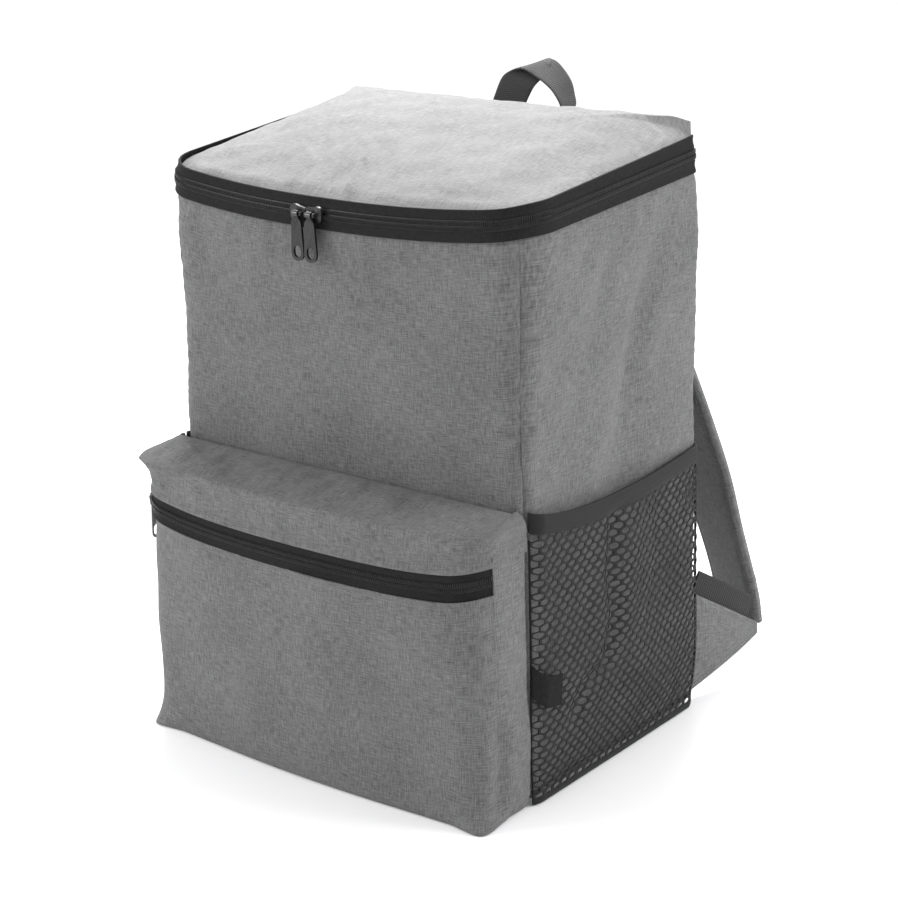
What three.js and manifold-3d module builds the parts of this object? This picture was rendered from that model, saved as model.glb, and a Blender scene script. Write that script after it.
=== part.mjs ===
// A cooler backpack: an upright padded box with a zipped domed lid, a boxed front pocket,
// a net pocket on each side, a webbing handle and two padded shoulder straps.
// Millimetres, +Z up, the front faces -Y, and the origin is the centre of the underside.
import * as THREE from "three";
import { mergeVertices } from "three/addons/utils/BufferGeometryUtils.js";
import Module from "manifold-3d";

// Main compartment
const BODY_WIDTH = 280;
const BODY_DEPTH = 186;
const BASE_SEAM_HEIGHT = 8;
const WALL = 5;
const LOWER_CORNER_RADIUS = 10;
const ZIP_CORNER_RADIUS = 30;
const REAR_CORNER_RADIUS = 8;
const FRONT_BOW = 4;
const SIDE_DENT = 4;
const SEAM_GAP = 0.3;

// Main zip: the band runs round three sides, lowest at the middle of the front
const ZIP_FRONT_HEIGHT = 345;
const ZIP_CORNER_RISE = 8;
const ZIP_REAR_RISE = 10;
const ZIP_BAND_FRONT = 18;
const ZIP_BAND_SIDE = 23;
const ZIP_BAND_LEAN = 4;
const TAPE_THICKNESS = 1.2;
const COIL_WIDTH = 6.5;
const COIL_THICKNESS = 2.6;

// Lid
const LID_REAR_HEIGHT = 394;
const LID_CROWN = 10;

// Sliders and pulls
const SLIDER_LENGTH = 12;
const SLIDER_WIDTH = 10;
const SLIDER_THICKNESS = 2;
const SLIDER_PAIR_X = -10.6;
const BAIL_LENGTH = 7.4;
const BAIL_FOOT = 1.3;
const BAIL_RADIUS = 0.8;
const PULL_HOLE_CLEARANCE = 0.4;
const PULL_EYE_WALL = 0.8;
const PULL_NECK = 3.8;
const PULL_WIDTH = 9.8;
const PULL_LENGTH = 29;
const PULL_THICKNESS = 1.6;
const PULL_WINDOW = 5.6;
const PULL_SPACING = 10.4;

// Front pocket
const POCKET_DEPTH = 43;
const POCKET_CORNER_RADIUS = 26;
const POCKET_BOW = 5;
const POCKET_TOP = 192;
const POCKET_BROW = 187;
const POCKET_BROW_DROP = 2;
const POCKET_ZIP_HEIGHT = 141;
const POCKET_ZIP_CORNER_RISE = 9;
const POCKET_ZIP_SAG = 6;
const POCKET_ZIP_BAND = 17;
const POCKET_FLOOR = 0.5;
const POCKET_CLOTH = 2;
const POCKET_EAR = 5.5;
const POCKET_TIP = 8.5;
const POCKET_TIP_HEIGHT = 10;
const POCKET_BELLY = 2;
const POCKET_LAP = 2.5;

// Side pockets of net
const NET_BULGE = 9;
const NET_EDGE = 2.2;
const NET_THICKNESS = 1.2;
const NET_FLOOR = 1.5;
const NET_BAND_HEIGHT = 12;
const NET_BAND_TOP = 181;
const NET_BAND_FRONT_RISE = 11;
const NET_BAND_THICKNESS = 2;

// Label in the right front seam
const LABEL_WIDTH = 20;
const LABEL_TUCK = 8;
const LABEL_HEIGHT = 20;
const LABEL_TOP = 95;
const LABEL_DROP = 10;
const LABEL_THICKNESS = 1;
const LABEL_LIFT = 0.3;

// Carrying parts
const WEBBING_WIDTH = 25;
const WEBBING_THICKNESS = 1.8;
const HANDLE_SPAN = 50;
const HANDLE_FOOT = 366;
const HANDLE_TOP = 415;
const HANDLE_LEAN = 95;
const STRAP_WIDTH = 62;
const STRAP_THICKNESS = 9;
const STRAP_TOP_HEIGHT = 360;
const STRAP_FOOT_HEIGHT = 26;
const STRAP_TOP_X = 52;
const STRAP_FOOT_X = 110;
const STRAP_BOW = 105;
const STRAP_TURN = 30;
const BUCKLE_WIDTH = 34;
const BUCKLE_LENGTH = 24;
const BUCKLE_THICKNESS = 4;
const BUCKLE_BAR = 5.4;
const WING_HEIGHT = 78;
const WING_END = 175;
const WING_INSET = 9.5;
const WING_BEND = 8;
const WING_TIP_HEIGHT = 26;
const WING_TIP_WIDTH = 8;
const WING_THICKNESS = 2.4;
const WING_FLOOR = 3;
const WEBBING_LIFT = 4;

const wasm = await Module();
wasm.setup();

// Levels of the walls from the base seam to the zip. height is a share of the zip's height,
// side of the width, front and rear of the depth; round blends from the lower to the upper
// radius of the front corners, and bow is the share of the front's bulge.
const WALL_LEVELS = [
  { height: 0.0, side: 0.494, front: 0.49, rear: 0.49, round: 0.1, bow: 0.0 },
  { height: 0.05, side: 0.499, front: 0.502, rear: 0.505, round: 0.0, bow: 0.2 },
  { height: 0.3, side: 0.5, front: 0.5, rear: 0.517, round: 0.0, bow: 0.5 },
  { height: 0.55, side: 0.499, front: 0.498, rear: 0.518, round: 0.1, bow: 0.6 },
  { height: 0.8, side: 0.503, front: 0.503, rear: 0.51, round: 0.5, bow: 0.7 },
  { height: 0.95, side: 0.513, front: 0.514, rear: 0.49, round: 0.85, bow: 0.9 },
  { height: 1.0, side: 0.5155, front: 0.517, rear: 0.48, round: 1.0, bow: 1.0 },
  { height: 1.15, side: 0.513, front: 0.51, rear: 0.45, round: 1.0, bow: 1.0 },
];

// Soft dents of the side panels: a slanting trough. along and up are shares of the depth
// and the zip's height, spread is a share of the depth, and deep of the dent's depth.
const SIDE_DENTS = [
  { along: 0.23, up: 0.92, lean: 0.52, spread: 0.2, deep: 1.0 },
  { along: -0.2, up: 0.8, lean: 0.1, spread: 0.24, deep: 0.45 },
];

// The shoulder strap's middle line, from its foot to its top: height is a share of the way
// up, out of the bow behind the back, side of the way outwards, and turn of its twist.
const STRAP_ROUTE = [
  { height: 0.0, out: 1.0, side: 1.0, turn: 1.0 },
  { height: 0.06, out: 0.975, side: 0.97, turn: 1.0 },
  { height: 0.21, out: 0.87, side: 0.83, turn: 0.95 },
  { height: 0.34, out: 0.78, side: 0.7, turn: 0.85 },
  { height: 0.6, out: 0.5, side: 0.42, turn: 0.6 },
  { height: 0.8, out: 0.22, side: 0.2, turn: 0.3 },
  { height: 0.95, out: 0.03, side: 0.03, turn: 0.0 },
  { height: 1.0, out: 0.0, side: 0.0, turn: 0.0 },
];

const mix = (a, b, t) => a + (b - a) * t;
const clamp = (v, low, high) => Math.min(Math.max(v, low), high);

// Evenly spaced values from a to b.
const steps = (a, b, count) => Array.from({ length: count + 1 }, (_, i) => mix(a, b, i / count));

// One row worked out between the two rows of a table that enclose value in column key.
function row(table, key, value) {
  const v = clamp(value, table[0][key], table[table.length - 1][key]);
  const next = Math.max(1, table.findIndex((r) => r[key] >= v));
  const low = table[next - 1];
  const high = table[next];
  const t = (v - low[key]) / (high[key] - low[key]);
  return Object.fromEntries(Object.keys(low).map((k) => [k, mix(low[k], high[k], t)]));
}

// Turns a geometry into one closed solid's worth of merged vertices, facing outwards.
function closed(geometry) {
  const bare = new THREE.BufferGeometry();
  bare.setAttribute("position", geometry.getAttribute("position"));
  if (geometry.index) bare.setIndex(geometry.index);
  const merged = mergeVertices(bare, 1e-3);
  const p = merged.getAttribute("position");
  const kept = [];
  let volume = 0;
  const [a, b, c] = [0, 1, 2].map(() => new THREE.Vector3());
  for (let i = 0; i < merged.index.count; i += 3) {
    const [ia, ib, ic] = [0, 1, 2].map((k) => merged.index.getX(i + k));
    if (ia === ib || ib === ic || ia === ic) continue;
    kept.push(ia, ib, ic);
    a.fromBufferAttribute(p, ia);
    b.fromBufferAttribute(p, ib);
    c.fromBufferAttribute(p, ic);
    volume += a.dot(b.cross(c));
  }
  merged.setIndex(volume < 0 ? kept.reverse() : kept);
  return merged;
}

// A sheet with two faces over a grid: at(u, v, face) is a point of the inner face for face 0
// and of the outer face for face 1. Its edges are walled, and a ring has no edge where it meets.
function sheet(us, vs, at, ring = false) {
  const points = [];
  for (const face of [0, 1])
    for (const v of vs) for (const u of us) points.push(...at(u, v, face).toArray());
  const id = (face, j, i) => (face * vs.length + j) * us.length + i;
  const faces = [];
  const quad = (a, b, c, d) => faces.push(a, b, c, a, c, d);
  for (let j = 0; j + 1 < vs.length; j++)
    for (let i = 0; i + 1 < us.length; i++) {
      quad(id(1, j, i), id(1, j, i + 1), id(1, j + 1, i + 1), id(1, j + 1, i));
      quad(id(0, j + 1, i), id(0, j + 1, i + 1), id(0, j, i + 1), id(0, j, i));
    }
  const top = vs.length - 1;
  for (let i = 0; i + 1 < us.length; i++) {
    quad(id(0, 0, i), id(0, 0, i + 1), id(1, 0, i + 1), id(1, 0, i));
    quad(id(1, top, i), id(1, top, i + 1), id(0, top, i + 1), id(0, top, i));
  }
  const end = us.length - 1;
  for (let j = 0; j + 1 < vs.length && !ring; j++) {
    quad(id(0, j, 0), id(1, j, 0), id(1, j + 1, 0), id(0, j + 1, 0));
    quad(id(1, j, end), id(0, j, end), id(0, j + 1, end), id(1, j + 1, end));
  }
  const geometry = new THREE.BufferGeometry();
  geometry.setAttribute("position", new THREE.Float32BufferAttribute(points, 3));
  geometry.setIndex(faces);
  return closed(geometry);
}

// A strip along a path: width(t) is the sideways unit vector, and swell(s) the share of the
// thickness at s across from -1 to 1.
function strip(path, width, wide, thick, along, across, swell = () => 1) {
  return sheet(steps(-1, 1, across), steps(0, 1, along), (s, t, face) => {
    const tangent = path.getTangent(t);
    const sideways = width(t).addScaledVector(tangent, -tangent.dot(width(t))).normalize();
    const normal = new THREE.Vector3().crossVectors(tangent, sideways);
    return path
      .getPoint(t)
      .addScaledVector(sideways, (s * wide) / 2)
      .addScaledVector(normal, (face - 0.5) * thick * swell(s));
  });
}

const toManifold = (geometry) => {
  const g = closed(geometry);
  return new wasm.Manifold(
    new wasm.Mesh({
      numProp: 3,
      vertProperties: g.getAttribute("position").array,
      triVerts: new Uint32Array(g.index.array),
    }),
  );
};

function fromManifold(manifold) {
  const mesh = manifold.getMesh();
  const geometry = new THREE.BufferGeometry();
  geometry.setAttribute("position", new THREE.BufferAttribute(mesh.vertProperties, 3));
  geometry.setIndex(new THREE.BufferAttribute(mesh.triVerts, 1));
  return geometry;
}

// A box, and a round bar along X, both centred on a point.
const box = (x, y, z, at) => new THREE.BoxGeometry(x, y, z).translate(...at);
const barX = (radius, length, at) =>
  new THREE.CylinderGeometry(radius, radius, length, 14).rotateZ(Math.PI / 2).translate(...at);

// Height of the band's lower edge at a place on the walls' outline: lowest at the front's
// middle, up towards the front corners and up again towards the rear.
const bandFoot = (x, y) =>
  ZIP_FRONT_HEIGHT +
  ZIP_CORNER_RISE * Math.min(1, Math.abs((2 * x) / BODY_WIDTH)) ** 2.5 +
  ZIP_REAR_RISE * clamp(y / BODY_DEPTH + 0.5, 0, 1);

const bandHeight = (y) => mix(ZIP_BAND_FRONT, ZIP_BAND_SIDE, clamp(y / BODY_DEPTH + 0.5, 0, 1));

// The walls' half sizes and radii at a height.
function wallLevel(z) {
  const at = row(WALL_LEVELS, "height", z / ZIP_FRONT_HEIGHT);
  return {
    side: at.side * BODY_WIDTH,
    front: at.front * BODY_DEPTH,
    rear: at.rear * BODY_DEPTH,
    corner: mix(LOWER_CORNER_RADIUS, ZIP_CORNER_RADIUS, at.round),
    bow: at.bow * FRONT_BOW,
  };
}

// Depth of the side panels' dents at a place, none at the seams.
function dent(y, z) {
  const along = y / BODY_DEPTH;
  const up = z / ZIP_FRONT_HEIGHT;
  const edge = clamp(1 - (2.05 * along) ** 4, 0, 1) * clamp((1.02 - up) * 6, 0, 1) * clamp(up * 5, 0, 1);
  const depth = SIDE_DENTS.reduce((sum, d) => {
    const off = (along - d.along + d.lean * (d.up - up)) / d.spread;
    return sum + d.deep * Math.exp(-off * off * 4);
  }, 0);
  return SIDE_DENT * depth * edge;
}

// The walls' outline seen from above, by stations: 0 to 1 is the left side from the rear,
// 1 to 2 the left front corner, 2 to 3 the front, 3 to 4 the right front corner, 4 to 5 the
// right side, 5 to 6 the right rear corner, 6 to 7 the back and 7 to 8 the left rear corner.
// out moves a point outwards, off the outer face.
function wallPoint(u, z, out) {
  const { side, front, rear, corner, bow } = wallLevel(z);
  const s = ((u % 8) + 8) % 8;
  const t = s % 1;
  const run = Math.floor(s);
  const arc = (cx, cy, r, from) => {
    const angle = from + (t * Math.PI) / 2;
    return new THREE.Vector3(cx + (r + out) * Math.cos(angle), cy + (r + out) * Math.sin(angle), z);
  };
  const flank = (x, y) => new THREE.Vector3(Math.sign(x) * (Math.abs(x) + out - dent(y, z)), y, z);
  const r = REAR_CORNER_RADIUS;
  switch (run) {
    case 0:
      return flank(-side, mix(rear - r, corner - front, t));
    case 1:
      return arc(corner - side, corner - front, corner, Math.PI);
    case 2:
      return new THREE.Vector3(
        mix(corner - side, side - corner, t),
        -front - out - bow * Math.sin(Math.PI * t),
        z,
      );
    case 3:
      return arc(side - corner, corner - front, corner, 1.5 * Math.PI);
    case 4:
      return flank(side, mix(corner - front, rear - r, t));
    case 5:
      return arc(side - r, rear - r, r, 0);
    case 6:
      return new THREE.Vector3(mix(side - r, r - side, t), rear + out, z);
    default:
      return arc(r - side, rear - r, r, 0.5 * Math.PI);
  }
}

// Rows that all walls share, as shares of the zip's height, so that their seams match.
const WALL_ROWS = [0.05, 0.17, 0.3, 0.43, 0.55, 0.68, 0.8, 0.95];

// A wall between two seam stations, up to one or two edges over the shared rows.
function wallSheet(us, ...edges) {
  const rows = steps(0, WALL_ROWS.length + edges.length, WALL_ROWS.length + edges.length);
  return sheet(us, rows, (u, v, face) => {
    const plan = wallPoint(u, ZIP_FRONT_HEIGHT, 0);
    const shared = v === 0 ? BASE_SEAM_HEIGHT : WALL_ROWS[v - 1] * ZIP_FRONT_HEIGHT;
    const z = v > WALL_ROWS.length ? edges[v - WALL_ROWS.length - 1](plan.x, plan.y) : shared;
    return wallPoint(u + seamTrim(u, us, z), z, (face - 1) * WALL);
  });
}

// Half of the seam gap, in stations, at the two ends of a wall.
function seamTrim(u, us, z) {
  const { corner } = wallLevel(z);
  const front = u > 1 && u < 4;
  const radius = front ? corner : REAR_CORNER_RADIUS;
  const share = SEAM_GAP / (Math.PI * (radius - Math.min(WALL, radius / 2)));
  if (u === us[0]) return share;
  if (u === us[us.length - 1]) return -share;
  return 0;
}

const SEAM = { leftFront: 1.5, rightFront: 3.5, rightRear: 5.5, leftRear: 7.5 };
const FRONT_STATIONS = [1.5, 1.75, ...steps(2, 3, 6), 3.25, 3.5];
const RIGHT_STATIONS = [3.5, 3.75, ...steps(4, 5, 7), 5.5];
const LEFT_STATIONS = [-0.5, ...steps(0, 1, 7), 1.25, 1.5];
const BACK_STATIONS = [5.5, ...steps(6, 7, 4), 7.5];
const BAND_STATIONS = [-0.5, ...steps(0, 1, 5), ...steps(1.25, 2, 3), ...steps(2.125, 3, 7),
  ...steps(3.25, 4, 3), ...steps(4.2, 5, 4), 5.5];

const bandRear = () => bandFoot(BODY_WIDTH / 2, BODY_DEPTH / 2);

const frontPanel = () => wallSheet(FRONT_STATIONS, bandFoot);
const rightPanel = () => wallSheet(RIGHT_STATIONS, bandFoot);
const leftPanel = () => wallSheet(LEFT_STATIONS, bandFoot);
const backPanel = () => wallSheet(BACK_STATIONS, bandRear, () => LID_REAR_HEIGHT - SEAM_GAP);

// The base: a flat underside whose rim turns up to the seam.
function basePanel() {
  const rings = [1, 0.985, 0.95, 0.9, 0];
  const ringStations = [...steps(0, 1, 3), 1.5, ...steps(2, 3, 4), 3.5, ...steps(4, 5, 3), 5.5,
    ...steps(6, 7, 4), 7.5, 8];
  return sheet(ringStations, rings, (u, s, face) => {
    const rim = wallPoint(u, BASE_SEAM_HEIGHT, face === 1 ? 0 : -WALL);
    const turn = clamp((s - 0.9) / 0.1, 0, 1);
    const rise = BASE_SEAM_HEIGHT * (1 - Math.sqrt(1 - turn * turn));
    const z = face === 1 ? rise : Math.max(rise, WALL);
    return new THREE.Vector3(rim.x * s, rim.y * s, Math.min(z, BASE_SEAM_HEIGHT) - SEAM_GAP * turn);
  }, true);
}

// Distance round the outline from the middle of the back, in stations, and from it the share
// of the band's lean: all of it at the front, none at the rear seams.
function leanShare(u) {
  const s = ((u % 8) + 8) % 8;
  return clamp((Math.min(Math.abs(s - 6.5), s + 1.5) - 1) / 3, 0, 1);
}

// One strip of the zip band: low and high are shares of the band's height, lifted off by
// trims, and from and to its distances off the walls' outer face.
function bandStrip(low, high, lowTrim, highTrim, from, to) {
  return sheet(BAND_STATIONS, [0, 1], (u, v, face) => {
    const plan = wallPoint(u, ZIP_FRONT_HEIGHT, 0);
    const tall = bandHeight(plan.y);
    const rise = v ? high * tall + highTrim : low * tall + lowTrim;
    const z = bandFoot(plan.x, plan.y) + rise;
    const lean = ZIP_BAND_LEAN * (rise / tall) ** 2 * leanShare(u);
    return wallPoint(u + seamTrim(u, BAND_STATIONS, z), z, mix(from, to, face) - lean);
  });
}

// Top edge of the band, which the lid is sewn to on three sides; out moves it outwards.
function lidEdge(u, out) {
  const plan = wallPoint(u, ZIP_FRONT_HEIGHT, 0);
  const z = bandFoot(plan.x, plan.y) + bandHeight(plan.y) + SEAM_GAP;
  const rear = clamp(1 - leanShare(u) * 20, 0, 1);
  return wallPoint(u, mix(z, LID_REAR_HEIGHT, rear), out - ZIP_BAND_LEAN * leanShare(u));
}

// The lid: rings that shrink from its edge to its middle, domed by its crown. Near its edge
// the underside is flat, to lie on the back panel.
function lidPanel() {
  const rings = [1, 0.985, 0.94, 0.85, 0.7, 0.45, 0.2, 0];
  const ringStations = [...steps(0, 1, 5), 1.33, 1.67, ...steps(2, 3, 6), 3.33, 3.67, ...steps(4, 5, 5),
    5.5, ...steps(6, 7, 5), 7.5, 8];
  const front = lidEdge(2.5, 0);
  const rear = lidEdge(6.5, 0);
  const middle = (front.y + rear.y) / 2;
  return sheet(ringStations, rings, (u, s, face) => {
    const edge = lidEdge(u, (face - 1) * (WALL + 0.5));
    const y = mix(middle, edge.y, s);
    const slope = mix(front.z, rear.z, clamp((y - front.y) / (rear.y - front.y), 0, 1));
    const top = mix(slope, edge.z, s ** 6) + LID_CROWN * (1 - s ** 3.5);
    const under = s > 0.9 ? Math.max(top - WALL, edge.z) : top - WALL;
    return new THREE.Vector3(edge.x * s, y, face === 1 ? top : under);
  }, true);
}

// Where the pocket's back edge lies, just off the front panel.
const POCKET_BACK = wallLevel(POCKET_TOP).front + wallLevel(POCKET_TOP).bow + SEAM_GAP;

// The front pocket's outline seen from above, by stations as the walls have: 0 to 1 is its
// left side from the seam, 1 to 2 the left corner, 2 to 3 the front, 3 to 4 the right corner
// and 4 to 5 the right side. flare is how far the outline is pushed out.
function pocketPoint(u, z, out, flare = 0) {
  const wall = wallLevel(z);
  const seam = BODY_DEPTH / 2 - POCKET_LAP;
  const belly = POCKET_BELLY * Math.sin(Math.PI * clamp(z / POCKET_ZIP_HEIGHT, 0, 1));
  const side = wall.side + flare + belly;
  const front = POCKET_BACK + POCKET_DEPTH + flare;
  const r = POCKET_CORNER_RADIUS;
  const s = clamp(u, 0, 5);
  const t = s - Math.min(Math.floor(s), 4);
  const arc = (cx, from) => {
    const angle = from + (t * Math.PI) / 2;
    return new THREE.Vector3(cx + (r + out) * Math.cos(angle), r - front + (r + out) * Math.sin(angle), z);
  };
  switch (Math.min(Math.floor(s), 4)) {
    case 0:
      return new THREE.Vector3(-mix(wall.side, side, t) - out, mix(-seam, r - front, t), z);
    case 1:
      return arc(r - side, Math.PI);
    case 2:
      return new THREE.Vector3(
        mix(r - side, side - r, t),
        -front - out - POCKET_BOW * Math.sin(Math.PI * t),
        z,
      );
    case 3:
      return arc(side - r, 1.5 * Math.PI);
    default:
      return new THREE.Vector3(mix(side, wall.side, t) + out, mix(r - front, -seam, t), z);
  }
}

// Height of the pocket zip's lower edge: level at the middle and up towards its ends, but
// its left end, where the slider hangs, sags.
const pocketZipFoot = (x) =>
  POCKET_ZIP_HEIGHT +
  POCKET_ZIP_CORNER_RISE * Math.min(1, Math.abs((2 * x) / BODY_WIDTH)) ** 4 -
  POCKET_ZIP_SAG * clamp((-x / BODY_WIDTH - 0.475) / 0.025, 0, 1);

const POCKET_STATIONS = [0, 0.5, 1.02, 1.04, 1.15, 1.25, 1.37, 1.5, 1.63, 1.8, ...steps(2, 3, 6), 3.2, 3.37, 3.5,
  3.63, 3.76, 3.78, 3.88, 4, 4.5, 5];
const POCKET_ZIP_START = 1.04;
const POCKET_ZIP_END = 3.76;
const TAB_GAP = 0.01;
const POCKET_SLIDER = 1.08;

// The seam that a point of the pocket's outline runs back to, at a height.
function pocketSeam(u, z, out) {
  const on = pocketPoint(u, z, 0);
  const wall = wallLevel(z);
  const reach = wall.side - LOWER_CORNER_RADIUS / 2;
  return new THREE.Vector3(clamp(on.x, -reach, reach), -POCKET_BACK, z + out);
}

// Share of the corners' points at a station: all at the two front corners, little beside.
const pocketCorner = (u, width) =>
  [1.5, 3.5].reduce((sum, at) => sum + Math.exp(-(((u - at) / width) ** 2)), 0);

// Below the zip: the floor runs out from the base seam, turns up and rises to the zip, and
// beyond the zip's ends on to the pocket's top. Its bottom corners are pointed.
function pocketFront() {
  const profile = [0, 0.9, 1, 1.03, 1.08, 1.2, 1.4, 1.65, 1.85, 2];
  return sheet(POCKET_STATIONS, profile, (u, v, face) => {
    const skin = (face - 1) * POCKET_CLOTH;
    if (v === 0) return pocketSeam(u, POCKET_FLOOR, -skin);
    const zip = pocketZipFoot(pocketPoint(u, POCKET_ZIP_HEIGHT, 0).x) - SEAM_GAP;
    const tab = u < POCKET_ZIP_START || u > POCKET_ZIP_END;
    const rise = Math.max(v - 1, 0);
    const z = mix(POCKET_FLOOR, tab ? zip + POCKET_ZIP_BAND + SEAM_GAP : zip, rise);
    const tip = POCKET_TIP * pocketCorner(u, 0.3) * Math.exp(-z / POCKET_TIP_HEIGHT);
    const p = pocketPoint(u, z, skin, tip);
    if (v < 1) return pocketSeam(u, POCKET_FLOOR, -skin).lerp(p.setZ(POCKET_FLOOR - skin), v);
    p.z = Math.max(z, POCKET_FLOOR - skin);
    return p;
  });
}

// Above the zip: up to the brow, then back over the top to the seam on the front panel, with
// an ear that points outwards at each front corner.
function pocketTop() {
  const profile = [0, 0.5, 0.85, 1, 1.25, 1.6, 2];
  return sheet(POCKET_STATIONS, profile, (u, v, face) => {
    const skin = (face - 1) * POCKET_CLOTH;
    const zip = pocketZipFoot(pocketPoint(u, POCKET_ZIP_HEIGHT, 0).x) + POCKET_ZIP_BAND + SEAM_GAP;
    const ear = pocketCorner(u, 0.4);
    const brow = POCKET_BROW - POCKET_BROW_DROP * (1 - Math.min(ear, 1));
    const rise = Math.min(v, 1);
    const p = pocketPoint(u, mix(zip, brow, rise), skin, POCKET_EAR * ear * rise ** 3);
    if (v <= 1) return p;
    const t = v - 1;
    const seam = pocketSeam(u, POCKET_TOP, 0);
    p.lerp(seam, t);
    p.z = mix(brow, POCKET_TOP, Math.sin((t * Math.PI) / 2)) + skin * (1 - t) * 0.4 + skin * Math.min(1, t * 3) * 0.6;
    return p;
  });
}

// One strip of the pocket's zip band, which ends square before the side seams.
function pocketBand(low, high, from, to) {
  const us = [POCKET_ZIP_START + TAB_GAP, ...POCKET_STATIONS.filter((u) => u > 1.1 && u < 3.7),
    POCKET_ZIP_END - TAB_GAP];
  return sheet(us, [0, 1], (u, v, face) => {
    const foot = pocketZipFoot(pocketPoint(u, POCKET_ZIP_HEIGHT, 0).x);
    return pocketPoint(u, foot + (v ? high : low), mix(from, to, face));
  });
}

// Height of the elastic band's top on the side: highest at the front seam.
const netBandTop = (y) => {
  const along = (2 * y) / BODY_DEPTH;
  return NET_BAND_TOP + NET_BAND_FRONT_RISE * (along < 0 ? -(along ** 3) : 0.3 * along ** 2);
};

// Distance of the net from the side panel: little at the seams, most at the middle.
function netOut(t, up) {
  const across = Math.sin(Math.PI * clamp(t, 0, 1)) ** 0.9;
  const low = 1 - (1 - clamp(up / 0.4, 0, 1)) ** 2;
  const high = clamp((up - 0.4) / 0.6, 0, 1) ** 2;
  return NET_EDGE + (NET_BULGE - NET_EDGE) * across * (mix(0.02, 1, low) - 0.2 * high);
}

const NET_SPAN = { from: 3.62, to: 5.4 };

// A strip of the side pocket on one flank (1 right, -1 left), between two heights.
function netSheet(flank, foot, head, thick, rows) {
  return sheet(steps(0, 1, 10), steps(0, 1, rows), (t, v, face) => {
    const u = mix(NET_SPAN.from, NET_SPAN.to, t);
    const plan = wallPoint(u, NET_BAND_TOP, 0);
    const z = mix(foot(plan.y), head(plan.y), v);
    const level = Math.max(z, BASE_SEAM_HEIGHT);
    const out = netOut(t, z / NET_BAND_TOP) + (face - 1) * thick;
    const p = wallPoint(u, level, out + dent(plan.y, level));
    p.x *= flank;
    p.z = z;
    return p;
  });
}

const netFoot = () => NET_FLOOR;
const netHead = (y) => netBandTop(y) - NET_BAND_HEIGHT - SEAM_GAP;
const netPocket = (flank) => netSheet(flank, netFoot, netHead, NET_THICKNESS, 7);
const netBand = (flank) =>
  netSheet(flank, (y) => netBandTop(y) - NET_BAND_HEIGHT, netBandTop, NET_BAND_THICKNESS, 1);

// The label: lies on the net, sewn into the right front seam, and slants down to the rear.
function label() {
  const start = NET_SPAN.from;
  const level = wallLevel(LABEL_TOP);
  const span = (LABEL_WIDTH - LABEL_TUCK) / (level.front + level.rear - LOWER_CORNER_RADIUS - REAR_CORNER_RADIUS);
  return sheet(steps(0, 1, 3), [0, 0.5, 1], (s, v, face) => {
    const u = mix(start, 4 + span, s);
    const z = LABEL_TOP - LABEL_DROP * s - LABEL_HEIGHT * (1 - v);
    const t = (u - NET_SPAN.from) / (NET_SPAN.to - NET_SPAN.from);
    const plan = wallPoint(u, z, 0);
    const out = netOut(t, z / NET_BAND_TOP) + SEAM_GAP + LABEL_LIFT + face * LABEL_THICKNESS;
    return wallPoint(u, z, out + dent(plan.y, z));
  });
}

// A slider: a waisted plate over the coil with a bail in front. Its own frame has the zip
// along X, the front towards -Y, and the bail's bar on the origin.
const PULL_EYE_HOLE = BAIL_RADIUS + PULL_HOLE_CLEARANCE;
const PULL_EYE_RADIUS = PULL_EYE_HOLE + PULL_EYE_WALL;
const BAIL_REACH = PULL_EYE_RADIUS + PULL_HOLE_CLEARANCE;

function slider(nose) {
  const half = SLIDER_LENGTH / 2;
  const wide = SLIDER_WIDTH / 2;
  const outline = new THREE.Shape();
  outline.moveTo(-half, -wide * 0.62);
  outline.quadraticCurveTo(-half * 0.2, -wide * 0.75, half * 0.35, -wide);
  outline.quadraticCurveTo(half, -wide, half, -wide * 0.35);
  outline.lineTo(half, wide * 0.35);
  outline.quadraticCurveTo(half, wide, half * 0.35, wide);
  outline.quadraticCurveTo(-half * 0.2, wide * 0.75, -half, wide * 0.62);
  outline.closePath();
  const plate = new THREE.ExtrudeGeometry(outline, {
    depth: SLIDER_THICKNESS,
    bevelEnabled: false,
    curveSegments: 4,
  })
    .rotateX(Math.PI / 2)
    .translate(0, BAIL_REACH + SLIDER_THICKNESS, 0);
  const shift = nose * (PULL_SPACING - SLIDER_LENGTH - 2 * SEAM_GAP) * 0.5;
  const flipped = nose > 0 ? plate : plate.rotateZ(Math.PI).translate(0, 2 * BAIL_REACH + SLIDER_THICKNESS, 0);
  flipped.translate(-shift, 0, 0);
  const bar = barX(BAIL_RADIUS, BAIL_LENGTH - 0.2, [0, 0, 0]);
  const feet = [-1, 1].map((side) =>
    box(BAIL_FOOT, BAIL_REACH + BAIL_RADIUS + 0.5, 2 * BAIL_RADIUS + 0.6, [
      side * (BAIL_LENGTH / 2 - BAIL_FOOT / 2),
      (BAIL_REACH + 0.5 - BAIL_RADIUS) / 2,
      0,
    ]),
  );
  const whole = feet.reduce((sum, foot) => sum.add(toManifold(foot)), toManifold(flipped).add(toManifold(bar)));
  return fromManifold(whole);
}

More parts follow.
